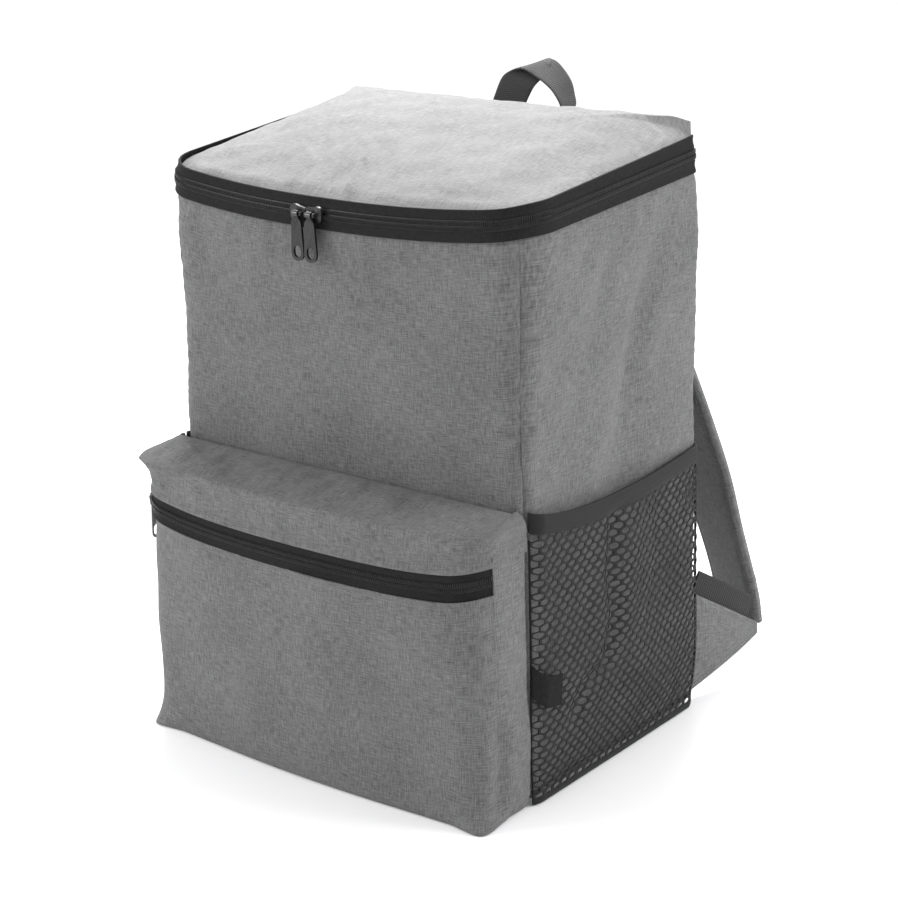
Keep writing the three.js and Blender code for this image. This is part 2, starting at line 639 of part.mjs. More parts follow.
// A pull: an eye round the bail's bar, a narrow neck and a plate with a window at its end.
function pull() {
  const half = PULL_WIDTH / 2;
  const shoulder = -PULL_EYE_RADIUS - 5;
  const outline = new THREE.Shape();
  outline.moveTo(-PULL_NECK / 2, 0);
  outline.lineTo(-PULL_NECK / 2, -PULL_EYE_RADIUS - 1);
  outline.quadraticCurveTo(-half * 0.8, -PULL_EYE_RADIUS - 2, -half * 0.8, shoulder);
  outline.lineTo(-half, -PULL_LENGTH + half);
  outline.absarc(0, -PULL_LENGTH + half, half, Math.PI, 2 * Math.PI, false);
  outline.lineTo(half * 0.8, shoulder);
  outline.quadraticCurveTo(half * 0.8, -PULL_EYE_RADIUS - 2, PULL_NECK / 2, -PULL_EYE_RADIUS - 1);
  outline.lineTo(PULL_NECK / 2, 0);
  outline.closePath();
  const window = new THREE.Path();
  const r = PULL_WINDOW / 2;
  window.absarc(0, -PULL_LENGTH + half + r * 0.6, r, 0, Math.PI, false);
  window.absarc(0, -PULL_LENGTH + half, r, Math.PI, 2 * Math.PI, false);
  outline.holes.push(window);
  const plate = new THREE.ExtrudeGeometry(outline, {
    depth: PULL_THICKNESS,
    bevelEnabled: false,
    curveSegments: 6,
  })
    .rotateX(Math.PI / 2)
    .translate(0, PULL_THICKNESS / 2, 0);
  const eye = toManifold(barX(PULL_EYE_RADIUS, PULL_NECK, [0, 0, 0]));
  const hole = toManifold(barX(PULL_EYE_HOLE, PULL_NECK * 2, [0, 0, 0]));
  return fromManifold(toManifold(plate).add(eye).subtract(hole));
}

// Where a bail's bar sits off the outer face of the cloth that its zip is in.
const BAIL_OUT = COIL_THICKNESS - TAPE_THICKNESS / 2 + SEAM_GAP + SLIDER_THICKNESS + BAIL_REACH;

// The top handle's front edge: its ends lie flat on the back panel, and it twists into an
// arch that has flopped to one side. side is a share of its span, up of its height and back
// of its lean; turn is how far its width has turned from across to front and back, and dip
// how far its rear edge hangs below its front edge, in degrees.
const HANDLE_ROUTE = [
  { at: 0, side: -0.49, up: 0.0, back: 0.0, turn: 0, dip: 0 },
  { at: 1, side: -0.41, up: 0.3, back: 0.07, turn: 3, dip: 0 },
  { at: 2, side: -0.32, up: 0.61, back: 0.35, turn: 10, dip: 0 },
  { at: 3, side: -0.2, up: 0.88, back: 0.66, turn: 12, dip: 8 },
  { at: 4, side: -0.06, up: 0.96, back: 0.84, turn: 45, dip: -5 },
  { at: 5, side: 0.08, up: 0.98, back: 0.92, turn: 80, dip: -9 },
  { at: 6, side: 0.25, up: 0.91, back: 1.0, turn: 86, dip: -13 },
  { at: 7, side: 0.39, up: 0.84, back: 1.0, turn: 89, dip: -9 },
  { at: 8, side: 0.52, up: 0.75, back: 1.0, turn: 92, dip: -3 },
  { at: 9, side: 0.62, up: 0.64, back: 1.0, turn: 98, dip: 2 },
  { at: 10, side: 0.685, up: 0.52, back: 1.0, turn: 104, dip: 9 },
  { at: 11, side: 0.72, up: 0.27, back: 0.65, turn: 132, dip: 6 },
  { at: 12, side: 0.67, up: 0.0, back: 0.0, turn: 180, dip: 0 },
];

function handle() {
  const foot = wallLevel(HANDLE_FOOT).rear + WEBBING_THICKNESS / 2 + SEAM_GAP;
  const tall = HANDLE_TOP - HANDLE_FOOT;
  const edge = new THREE.CatmullRomCurve3(
    HANDLE_ROUTE.map((p) => {
      const y = foot + p.back * (HANDLE_LEAN - foot);
      return new THREE.Vector3(p.side * HANDLE_SPAN, y, HANDLE_FOOT + p.up * tall);
    }),
  );
  return sheet([0, 0.5, 1], steps(0, 1, 36), (s, t, face) => {
    const { turn, dip } = row(HANDLE_ROUTE, "at", t * (HANDLE_ROUTE.length - 1));
    const [a, b] = [turn, dip].map(THREE.MathUtils.degToRad);
    const across = new THREE.Vector3(Math.cos(a) * Math.cos(b), Math.sin(a) * Math.cos(b), -Math.sin(b));
    const normal = new THREE.Vector3().crossVectors(edge.getTangent(t), across).normalize();
    return edge
      .getPoint(t)
      .addScaledVector(across, s * WEBBING_WIDTH)
      .addScaledVector(normal, (face - 0.5) * WEBBING_THICKNESS);
  });
}

// Middle line of the shoulder strap on one flank, and its sideways direction.
function strapPath(flank) {
  const start = STRAP_THICKNESS / 2 + 3 * SEAM_GAP;
  return new THREE.CatmullRomCurve3(
    STRAP_ROUTE.map((p) => {
      const z = mix(STRAP_FOOT_HEIGHT, STRAP_TOP_HEIGHT, p.height);
      const hug = wallLevel(STRAP_TOP_HEIGHT).rear + start;
      const y = Math.max(hug + p.out * STRAP_BOW, wallLevel(z).rear + start);
      return new THREE.Vector3(flank * mix(STRAP_TOP_X, STRAP_FOOT_X, p.side), y, z);
    }),
  );
}

function strapWidth(flank, t) {
  const turn = THREE.MathUtils.degToRad(STRAP_TURN) * row(STRAP_ROUTE, "height", t).turn;
  return new THREE.Vector3(Math.cos(turn) * flank, -Math.sin(turn), 0);
}

const strap = (flank) =>
  strip(strapPath(flank), (t) => strapWidth(flank, t), STRAP_WIDTH, STRAP_THICKNESS, 18, 4,
    (s) => mix(0.35, 1, Math.sqrt(1 - s ** 4)));

// A point of the wing's middle surface: s runs from its lower to its upper edge and v from
// the rear seam to its tip. It bends outwards.
function wingPoint(flank, s, v) {
  const root = mix(WING_FLOOR, WING_HEIGHT, s);
  const tip = WING_TIP_HEIGHT + (s - 0.5) * WING_TIP_WIDTH;
  const x = wallLevel(WING_HEIGHT).side - WING_INSET + WING_BEND * Math.sin((Math.PI * v) / 2);
  const rear = wallLevel(Math.max(root, BASE_SEAM_HEIGHT)).rear + SEAM_GAP;
  return new THREE.Vector3(flank * x, mix(rear, WING_END, v), mix(root, tip, v));
}

const WING_ROWS = [0, 0.067, 0.19, 0.5, 1];
const wing = (flank) => sheet(WING_ROWS, steps(0, 1, 4), (s, v, face) => {
  const p = wingPoint(flank, s, v);
  p.x += (face - 0.5) * WING_THICKNESS;
  return p;
});

// The lower webbing: lies on the wing's inner face along its upper edge.
function lowerWebbing(flank) {
  const inwards = -flank * (WING_THICKNESS / 2 + SEAM_GAP + 0.1 + WEBBING_THICKNESS / 2);
  const shift = new THREE.Vector3(inwards, 0, WEBBING_LIFT);
  const path = new THREE.CatmullRomCurve3(steps(0.12, 0.9, 4).map((v) => wingPoint(flank, 1, v).add(shift)));
  return strip(path, () => new THREE.Vector3(0, 0, 1), WEBBING_WIDTH, WEBBING_THICKNESS, 6, 1);
}

// A ladder lock: a plate with two slots, at the strap's foot on its inner face.
function buckle() {
  const outline = new THREE.Shape();
  const w = BUCKLE_WIDTH / 2;
  const h = BUCKLE_LENGTH / 2;
  outline.moveTo(-w, -h).lineTo(w, -h).lineTo(w, h).lineTo(-w, h).closePath();
  const slotTall = (BUCKLE_LENGTH - 3 * BUCKLE_BAR) / 2;
  for (const side of [-1, 1]) {
    const low = side > 0 ? BUCKLE_BAR / 2 : -BUCKLE_BAR / 2 - slotTall;
    const slot = new THREE.Path();
    slot.moveTo(BUCKLE_BAR - w, low).lineTo(BUCKLE_BAR - w, low + slotTall);
    slot.lineTo(w - BUCKLE_BAR, low + slotTall).lineTo(w - BUCKLE_BAR, low).closePath();
    outline.holes.push(slot);
  }
  return new THREE.ExtrudeGeometry(outline, { depth: BUCKLE_THICKNESS, bevelEnabled: false });
}

// Finishes
const finish = (color, roughness, metalness = 0) => new THREE.MeshStandardMaterial({ color, roughness, metalness });
const CLOTH = finish(0x74767a, 0.95);
const LID_CLOTH = finish(0x85878b, 0.95);
const TAPE = finish(0x232326, 0.8);
const COIL = finish(0x1a1a1c, 0.45);
const NET = finish(0x2a2a2c, 0.85);
const WEBBING = finish(0x2c2c2f, 0.8);
const BLACK_METAL = finish(0x2b2b2e, 0.35, 0.8);
const STEEL = finish(0xa8a9ac, 0.35, 0.9);
const PLASTIC = finish(0x18181a, 0.5);

const bag = new THREE.Group();
const add = (name, geometry, material, parent = bag) => {
  const mesh = new THREE.Mesh(geometry, material);
  mesh.name = name;
  parent.add(mesh);
  return mesh;
};

add("front_panel", frontPanel(), CLOTH);
add("side_panel_right", rightPanel(), CLOTH);
add("side_panel_left", leftPanel(), CLOTH);
add("back_panel", backPanel(), CLOTH);
add("base_panel", basePanel(), CLOTH);
add("lid_panel", lidPanel(), LID_CLOTH);

const halfCoil = COIL_WIDTH / 2 + SEAM_GAP;
const tapeFace = TAPE_THICKNESS / 2;
add("main_zip_tape_lower", bandStrip(0, 0.5, SEAM_GAP, -halfCoil, -tapeFace, tapeFace), TAPE);
add("main_zip_tape_upper", bandStrip(0.5, 1, halfCoil, 0, -tapeFace, tapeFace), TAPE);
add("main_zip_coil", bandStrip(0.5, 0.5, SEAM_GAP - halfCoil, halfCoil - SEAM_GAP, -tapeFace,
  COIL_THICKNESS - tapeFace), COIL);

// The two sliders, nose to nose, each with its pull hanging from its bail.
for (const [side, name] of [[-1, "left"], [1, "right"]]) {
  const holder = new THREE.Group();
  const x = SLIDER_PAIR_X + (side * PULL_SPACING) / 2;
  const tall = bandHeight(-BODY_DEPTH / 2);
  const z = bandFoot(x, -BODY_DEPTH / 2) + tall / 2;
  const level = wallLevel(z);
  const lean = ZIP_BAND_LEAN * (0.5 - COIL_WIDTH / 2 / tall) ** 2;
  holder.position.set(x, -level.front - level.bow - BAIL_OUT + lean, z);
  add("main_slider_" + name, slider(side), BLACK_METAL, holder);
  add("main_pull_" + name, pull(), BLACK_METAL, holder);
  bag.add(holder);
}

add("pocket_front", pocketFront(), CLOTH);
add("pocket_top", pocketTop(), CLOTH);
const pocketMid = POCKET_ZIP_BAND / 2;
add("pocket_zip_tape_lower", pocketBand(0, pocketMid - halfCoil, -tapeFace, tapeFace), TAPE);
add("pocket_zip_tape_upper", pocketBand(pocketMid + halfCoil, POCKET_ZIP_BAND, -tapeFace, tapeFace), TAPE);
add("pocket_zip_coil", pocketBand(pocketMid - COIL_WIDTH / 2, pocketMid + COIL_WIDTH / 2, -tapeFace,
  COIL_THICKNESS - tapeFace), COIL);

// The pocket's slider is parked at the zip's left end, so its front faces left.
const parked = new THREE.Group();
parked.position.copy(pocketPoint(POCKET_SLIDER, pocketZipFoot(pocketPoint(POCKET_SLIDER, POCKET_ZIP_HEIGHT, 0).x) +
  pocketMid, BAIL_OUT));
parked.rotation.z = ((POCKET_SLIDER - 2) * Math.PI) / 2;
add("pocket_slider", slider(1), BLACK_METAL, parked);
add("pocket_pull", pull(), STEEL, parked);
bag.add(parked);

for (const [flank, name] of [[1, "right"], [-1, "left"]]) {
  add("mesh_pocket_" + name, netPocket(flank), NET);
  add("mesh_band_" + name, netBand(flank), WEBBING);
}
add("seam_label", label(), TAPE);
add("top_handle", handle(), WEBBING);

for (const [flank, name] of [[1, "right"], [-1, "left"]]) {
  add("shoulder_strap_" + name, strap(flank), CLOTH);
  add("strap_wing_" + name, wing(flank), CLOTH);
  add("strap_webbing_" + name, lowerWebbing(flank), WEBBING);
  const path = strapPath(flank);
  const lock = add("strap_buckle_" + name, buckle(), PLASTIC);
  const t = 0.12;
  const up = path.getTangent(t);
  const sideways = strapWidth(flank, t);
  sideways.addScaledVector(up, -up.dot(sideways)).normalize();
  const normal = new THREE.Vector3().crossVectors(sideways, up);
  const off = STRAP_THICKNESS / 2 + SEAM_GAP;
  lock.quaternion.setFromRotationMatrix(new THREE.Matrix4().makeBasis(sideways, up, normal));
  lock.position.copy(path.getPoint(t)).addScaledVector(normal, flank > 0 ? -off - BUCKLE_THICKNESS : off);
}

export default bag;
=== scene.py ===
"""The cooler backpack's looks: cloth, zips, net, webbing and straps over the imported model.

Shapes are worked out in millimetres, as surfaces of two parameters over numpy grids.
"""

import math

import bmesh
import bpy
import numpy as np
from mathutils import Matrix


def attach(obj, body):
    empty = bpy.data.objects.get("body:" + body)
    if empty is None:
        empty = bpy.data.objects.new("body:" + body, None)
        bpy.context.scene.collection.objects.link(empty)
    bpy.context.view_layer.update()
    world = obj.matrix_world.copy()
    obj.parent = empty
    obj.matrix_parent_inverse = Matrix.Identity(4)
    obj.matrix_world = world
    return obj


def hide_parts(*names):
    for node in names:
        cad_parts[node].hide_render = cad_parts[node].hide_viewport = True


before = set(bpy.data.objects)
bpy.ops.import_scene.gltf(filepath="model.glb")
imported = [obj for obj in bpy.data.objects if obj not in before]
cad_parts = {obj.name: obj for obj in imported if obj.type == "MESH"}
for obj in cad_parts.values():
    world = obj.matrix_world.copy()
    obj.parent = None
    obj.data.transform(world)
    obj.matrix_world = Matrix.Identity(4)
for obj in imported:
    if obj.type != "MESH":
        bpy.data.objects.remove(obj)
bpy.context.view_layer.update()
SCENE = bpy.context.scene
TAU = 2 * math.pi

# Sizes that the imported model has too
BODY_WIDTH, BODY_DEPTH, BASE_SEAM = 280.0, 186.0, 8.0
ZIP_FRONT, ZIP_CORNER_RISE, ZIP_REAR_RISE = 345.0, 8.0, 10.0
BAND_FRONT, BAND_SIDE, BAND_LEAN = 18.0, 23.0, 4.0
LOWER_RADIUS, ZIP_RADIUS, REAR_RADIUS = 10.0, 30.0, 8.0
LID_REAR, LID_CROWN = 394.0, 10.0
POCKET_DEPTH, POCKET_RADIUS, POCKET_BOW = 43.0, 26.0, 5.0
POCKET_TOP, POCKET_BROW, POCKET_BROW_DROP = 192.0, 187.0, 2.0
POCKET_ZIP, POCKET_ZIP_RISE, POCKET_SAG, POCKET_BAND = 141.0, 9.0, 6.0, 17.0
POCKET_EAR, POCKET_TIP, POCKET_TIP_HEIGHT, POCKET_BELLY = 5.5, 8.5, 10.0, 2.0
POCKET_START, POCKET_END, POCKET_LAP = 1.04, 3.76, 2.5
COIL_HALF, TAPE_FACE = 3.25, 0.6
NET_BULGE, NET_EDGE, NET_FLOOR = 9.0, 2.2, 1.5
NET_BAND, NET_BAND_TOP, NET_BAND_RISE = 12.0, 181.0, 11.0
NET_FROM, NET_TO = 3.62, 5.4
WEBBING_WIDTH, WEBBING_THICK = 25.0, 1.8
HANDLE_SPAN, HANDLE_FOOT, HANDLE_TOP, HANDLE_LEAN = 50.0, 366.0, 415.0, 95.0
STRAP_WIDTH, STRAP_THICK, STRAP_TOP, STRAP_FOOT = 62.0, 9.0, 360.0, 26.0
STRAP_TOP_X, STRAP_FOOT_X, STRAP_BOW, STRAP_TURN = 52.0, 110.0, 105.0, 30.0
WING_HEIGHT, WING_END, WING_INSET, WING_BEND = 78.0, 175.0, 9.5, 8.0
WING_TIP_HEIGHT, WING_TIP_WIDTH, WING_THICK, WING_FLOOR = 26.0, 8.0, 2.4, 3.0

# height, half width, front, rear (shares), corner blend and bow of the front
LEVELS = np.array([
    (0.0, 0.494, 0.49, 0.49, 0.1, 0.0), (0.05, 0.499, 0.502, 0.505, 0.0, 0.2),
    (0.3, 0.5, 0.5, 0.517, 0.0, 0.5), (0.55, 0.499, 0.498, 0.518, 0.1, 0.6),
    (0.8, 0.503, 0.503, 0.51, 0.5, 0.7), (0.95, 0.513, 0.514, 0.49, 0.85, 0.9),
    (1.0, 0.5155, 0.517, 0.48, 1.0, 1.0), (1.15, 0.513, 0.51, 0.45, 1.0, 1.0)])
# along, up, lean, spread and depth of the side panels' dents
DENTS = [(0.23, 0.92, 0.52, 0.2, 1.0), (-0.2, 0.8, 0.1, 0.24, 0.45)]
# side, up, back, turn and dip of the handle's front edge
HANDLE_ROUTE = np.array([
    (-0.49, 0, 0, 0, 0), (-0.41, 0.3, 0.07, 3, 0), (-0.32, 0.61, 0.35, 10, 0), (-0.2, 0.88, 0.66, 12, 8),
    (-0.06, 0.96, 0.84, 45, -5), (0.08, 0.98, 0.92, 80, -9), (0.25, 0.91, 1, 86, -13),
    (0.39, 0.84, 1, 89, -9), (0.52, 0.75, 1, 92, -3), (0.62, 0.64, 1, 98, 2), (0.685, 0.52, 1, 104, 9),
    (0.72, 0.27, 0.65, 132, 6), (0.67, 0, 0, 180, 0)])
# height, out, side and turn of the shoulder strap's middle line
STRAP_ROUTE = np.array([
    (0, 1, 1, 1), (0.06, 0.975, 0.97, 1), (0.21, 0.87, 0.83, 0.95), (0.34, 0.78, 0.7, 0.85),
    (0.6, 0.5, 0.42, 0.6), (0.8, 0.22, 0.2, 0.3), (0.95, 0.03, 0.03, 0), (1, 0, 0, 0)])


# Sums on whole arrays
def mix(a, b, t):
    """The value a share t of the way from a to b."""
    return a + (b - a) * t


def clamp(v, low=0.0, high=1.0):
    """v held between low and high."""
    return np.clip(v, low, high)


def ease(v):
    """0 to 1 with a level start and end: three squares less two cubes."""
    v = clamp(v)
    return v * v * (3 - 2 * v)


def bell(distance, width):
    """1 at no distance, falling as exp of minus the square of distance over width."""
    return np.exp(-((distance / width) ** 2))


def unit(vectors):
    """Vectors shortened or stretched to a length of one."""
    return vectors / np.maximum(np.linalg.norm(vectors, axis=-1, keepdims=True), 1e-9)


def smooth(keys, values, at):
    """A cubic between each two points of a table, whose slope at a point is that of its neighbours."""
    keys, values = np.asarray(keys, float), np.asarray(values, float)
    at = np.clip(at, keys[0], keys[-1])
    slope = np.gradient(values, keys)
    i = np.clip(np.searchsorted(keys, at, side="right") - 1, 0, len(keys) - 2)
    step = keys[i + 1] - keys[i]
    t = (at - keys[i]) / step
    start, end = values[i], values[i + 1]
    return (start + t * step * slope[i] + t**2 * (3 * (end - start) - step * (2 * slope[i] + slope[i + 1]))
            + t**3 * (2 * (start - end) + step * (slope[i] + slope[i + 1])))


def waves(a, b, length, seed, count=7):
    """Soft irregular relief, about -1 to 1: sine waves of about one length, in seeded directions."""
    random = np.random.default_rng(seed)
    total = 0.0
    for _ in range(count):
        turn, size, phase = random.uniform(0, TAU), length * random.uniform(0.7, 1.5), random.uniform(0, TAU)
        total = total + np.sin(TAU * (a * math.cos(turn) + b * math.sin(turn)) / size + phase)
    return total / math.sqrt(count * 1.5)


def crease(a, b, line, width, fade=0.35):
    """A fold along a polyline: a bell of the distance to the line, thinning out towards both its ends."""
    line = np.asarray(line, float)
    lengths = np.linalg.norm(np.diff(line, axis=0), axis=1)
    whole, best, run = lengths.sum(), 0.0, 0.0
    for start, end, length in zip(line[:-1], line[1:], lengths):
        way = (end - start) / length
        t = clamp((a - start[0]) * way[0] + (b - start[1]) * way[1], 0, length)
        off = np.hypot(a - start[0] - way[0] * t, b - start[1] - way[1] * t)
        share = (run + t) / whole
        best = np.maximum(best, bell(off, width) * ease(np.minimum(share, 1 - share) / fade + 0.15))
        run += length
    return best


def folds(a, b, table):
    """The sum of a table's creases: rows of height, width, share that fades at the ends, and line."""
    return sum(height * crease(a, b, line, width, fade) for height, width, fade, line in table)


def route(points, t):
    """Places on a centripetal Catmull-Rom curve through points, at shares t of its point count."""
    points = np.asarray(points, float)
    whole = np.vstack([2 * points[0] - points[1], points, 2 * points[-1] - points[-2]])
    at = np.clip(np.asarray(t, float), 0, 1) * (len(points) - 1)
    i = np.minimum(at.astype(int), len(points) - 2)
    w = (at - i)[..., None]
    a, b, c, d = (whole[i + k] for k in range(4))
    gap = [np.sqrt(np.linalg.norm(q - p, axis=-1, keepdims=True)) for p, q in ((a, b), (b, c), (c, d))]
    leave = ((b - a) / gap[0] - (c - a) / (gap[0] + gap[1]) + (c - b) / gap[1]) * gap[1]
    arrive = ((c - b) / gap[1] - (d - b) / (gap[1] + gap[2]) + (d - c) / gap[2]) * gap[1]
    return b + leave * w + (3 * (c - b) - 2 * leave - arrive) * w**2 + (2 * (b - c) + leave + arrive) * w**3


def tangent(points, t):
    """Unit direction of that curve at shares t."""
    return unit(route(points, np.clip(t + 1e-3, 0, 1)) - route(points, np.clip(t - 1e-3, 0, 1)))


def along(points, outward, pitch, start=0.5):
    """Places at equal steps of length on a dense polyline, with the direction and the outward side there."""
    run = np.concatenate([[0], np.cumsum(np.linalg.norm(np.diff(points, axis=0), axis=1))])
    at = np.arange(start * pitch, run[-1] - 0.3 * pitch, pitch)

    def pick(table, where):
        return np.stack([np.interp(where, run, table[:, k]) for k in range(3)], 1)

    return pick(points, at), unit(pick(points, at + 0.4) - pick(points, at - 0.4)), unit(pick(outward, at))


# Meshes from grids
def signed_volume(points, faces):
    """Six times the volume that the faces close, positive where they point outwards."""
    total = 0.0
    for ids in faces:
        for k in range(1, ids.shape[1] - 1):
            a, b, c = points[ids[:, 0]], points[ids[:, k]], points[ids[:, k + 1]]
            total += np.einsum("ij,ij->", a, np.cross(b, c))
    return total


def put(name, points, faces, finish, slot, uv=None, body="bag", instead=(), angle=50):
    """A mesh object from points in millimetres and lists of faces, facing outwards, on a body."""
    faces = [np.asarray(ids, np.int64) for ids in faces if len(ids)]
    if signed_volume(points, faces) < 0:
        faces = [ids[:, ::-1] for ids in faces]
    mesh = bpy.data.meshes.new(name)
    mesh.vertices.add(len(points))
    mesh.vertices.foreach_set("co", (np.asarray(points, np.float32) * 0.001).ravel())
    corners = np.concatenate([ids.ravel() for ids in faces])
    sizes = np.concatenate([np.full(len(ids), ids.shape[1]) for ids in faces])
    mesh.loops.add(len(corners))
    mesh.loops.foreach_set("vertex_index", corners.astype(np.int32))
    mesh.polygons.add(len(sizes))
    mesh.polygons.foreach_set("loop_start", (np.cumsum(sizes) - sizes).astype(np.int32))
    mesh.polygons.foreach_set("use_smooth", np.ones(len(sizes), bool))
    mesh.update(calc_edges=True)
    if uv is not None:
        layer = mesh.uv_layers.new(name="cloth")
        layer.data.foreach_set("uv", np.asarray(uv, np.float32)[corners].ravel())
    mesh.set_sharp_from_angle(angle=math.radians(angle))
    mesh.materials.append(finish)
    piece = bpy.data.objects.new(name, mesh)
    SCENE.collection.objects.link(piece)
    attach(piece, body)
    if instead:
        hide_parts(*instead)
    return piece


def grid_faces(index):
    """Quads over a grid of point numbers."""
    return np.stack([index[:-1, :-1], index[:-1, 1:], index[1:, 1:], index[1:, :-1]], -1).reshape(-1, 4)


def wall_faces(a, b):
    """Quads between two rows of point numbers."""
    return np.stack([b[:-1], b[1:], a[1:], a[:-1]], -1)


def lengths_uv(grid):
    """Cloth coordinates of a grid in millimetres: length along its middle row and along its middle column."""
    rows, columns = grid.shape[:2]
    u = np.concatenate([[0], np.cumsum(np.linalg.norm(np.diff(grid[rows // 2], axis=0), axis=1))])
    v = np.concatenate([[0], np.cumsum(np.linalg.norm(np.diff(grid[:, columns // 2], axis=0), axis=1))])
    return np.stack(np.meshgrid(u, v), -1)


def shell(outer, inner, uv=None):
    """A closed sheet between two grids of the same size, walled along its four edges."""
    rows, columns = outer.shape[:2]
    top = np.arange(rows * columns).reshape(rows, columns)
    under = top + rows * columns
    uv = lengths_uv(outer) if uv is None else uv
    faces = np.concatenate([
        grid_faces(top), grid_faces(under)[:, ::-1],
        wall_faces(top[0], under[0]), wall_faces(under[-1], top[-1]),
        wall_faces(under[:, 0], top[:, 0]), wall_faces(top[:, -1], under[:, -1])])
    points = np.concatenate([outer.reshape(-1, 3), inner.reshape(-1, 3)])
    return points, [faces], np.tile(uv.reshape(-1, 2), (2, 1))


def dome(outer, inner):
    """A closed round sheet: rings that shrink to a middle point on both faces, walled at the first ring."""
    rings, count = outer.shape[:2]
    top = np.arange(rings * count).reshape(rings, count)
    under = top + rings * count
    closed = [np.concatenate([ids, ids[:, :1]], 1) for ids in (top, under)]
    middle = 2 * rings * count
    last = closed[0][-1], closed[1][-1]
    fans = np.concatenate([
        np.stack([last[0][:-1], last[0][1:], np.full(count, middle)], -1),
        np.stack([last[1][1:], last[1][:-1], np.full(count, middle + 1)], -1)])
    faces = np.concatenate([grid_faces(closed[0]), grid_faces(closed[1])[:, ::-1],
                            wall_faces(closed[0][0], closed[1][0])])
    points = np.concatenate([outer.reshape(-1, 3), inner.reshape(-1, 3),
                             outer[-1].mean(0)[None], inner[-1].mean(0)[None]])
    return points, [faces, fans], points[:, :2].copy()


def ribbon(middle, side, normal, profile):
    """A closed profile, in millimetres across and up, carried along a path and capped at both ends."""
    rows, count = len(middle), len(profile)
    points = (middle[:, None] + side[:, None] * profile[None, :, :1] + normal[:, None] * profile[None, :, 1:])
    index = np.arange(rows * count).reshape(rows, count)
    closed = np.concatenate([index, index[:, :1]], 1)
    run = np.concatenate([[0], np.cumsum(np.linalg.norm(np.diff(middle, axis=0), axis=1))])
    uv = np.stack(np.broadcast_arrays(profile[None, :, 0], run[:, None]), -1)
    return points.reshape(-1, 3), [grid_faces(closed), index[:1, ::-1], index[-1:]], uv.reshape(-1, 2)


def pad_profile(width, thick, edge=0.35, power=4.0, count=40, channel=0.0, inset=5.0):
    """A flat oval: its thickness falls by the root of one less a power of the width, with a sewn channel."""
    s = np.cos(np.linspace(0, TAU, count, endpoint=False))
    face = np.where(np.arange(count) <= count // 2, 1.0, -1.0)
    across = np.sign(s) * np.abs(s) ** 0.75 * width / 2
    level = mix(edge, 1, np.sqrt(np.maximum(1 - np.abs(across * 2 / width) ** power, 0)))
    level = level * np.sqrt(np.maximum(1 - np.abs(across * 2 / width) ** 14, 0))
    edge_gap = width / 2 - np.abs(across)
    level = level + channel * (bell(edge_gap - 2, 1.3) - bell(edge_gap - inset, 1.6))
    return np.stack([across, face * level * thick / 2], -1)


def repeat(template, faces, place, forward, outward):
    """Copies of one small shape, each turned so that its X runs forward and its Z outward."""
    side = unit(np.cross(outward, forward))
    axes = np.stack([forward, side, np.cross(forward, side)], 1)
    points = place[:, None] + np.einsum("vk,nkc->nvc", template, axes)
    shift = (np.arange(len(place)) * len(template))[:, None, None]
    return points.reshape(-1, 3), [(ids[None] + shift).reshape(-1, ids.shape[1]) for ids in faces]


def bead(length, radius, sides=6, flat=1.0):
    """A small rounded bar along X: four rings whose radius closes in at both ends."""
    at = np.array([-0.5, -0.5 + 0.55 * radius / length, 0.5 - 0.55 * radius / length, 0.5]) * length
    size = np.array([0.45, 1, 1, 0.45]) * radius
    angle = np.arange(sides) * TAU / sides
    points = np.stack([np.repeat(at, sides), np.outer(size, np.cos(angle)).ravel(),
                       np.outer(size, np.sin(angle)).ravel() * flat], -1)
    index = np.arange(4 * sides).reshape(4, sides)
    closed = np.concatenate([index, index[:, :1]], 1)
    return points, [grid_faces(closed), index[:1, ::-1], index[-1:]]


def joined(parts):
    """One set of points and faces from several."""
    points, faces, start = [], [], 0
    for some, ids in parts:
        points.append(some)
        faces += [group + start for group in ids]
        start += len(some)
    return np.concatenate(points), faces


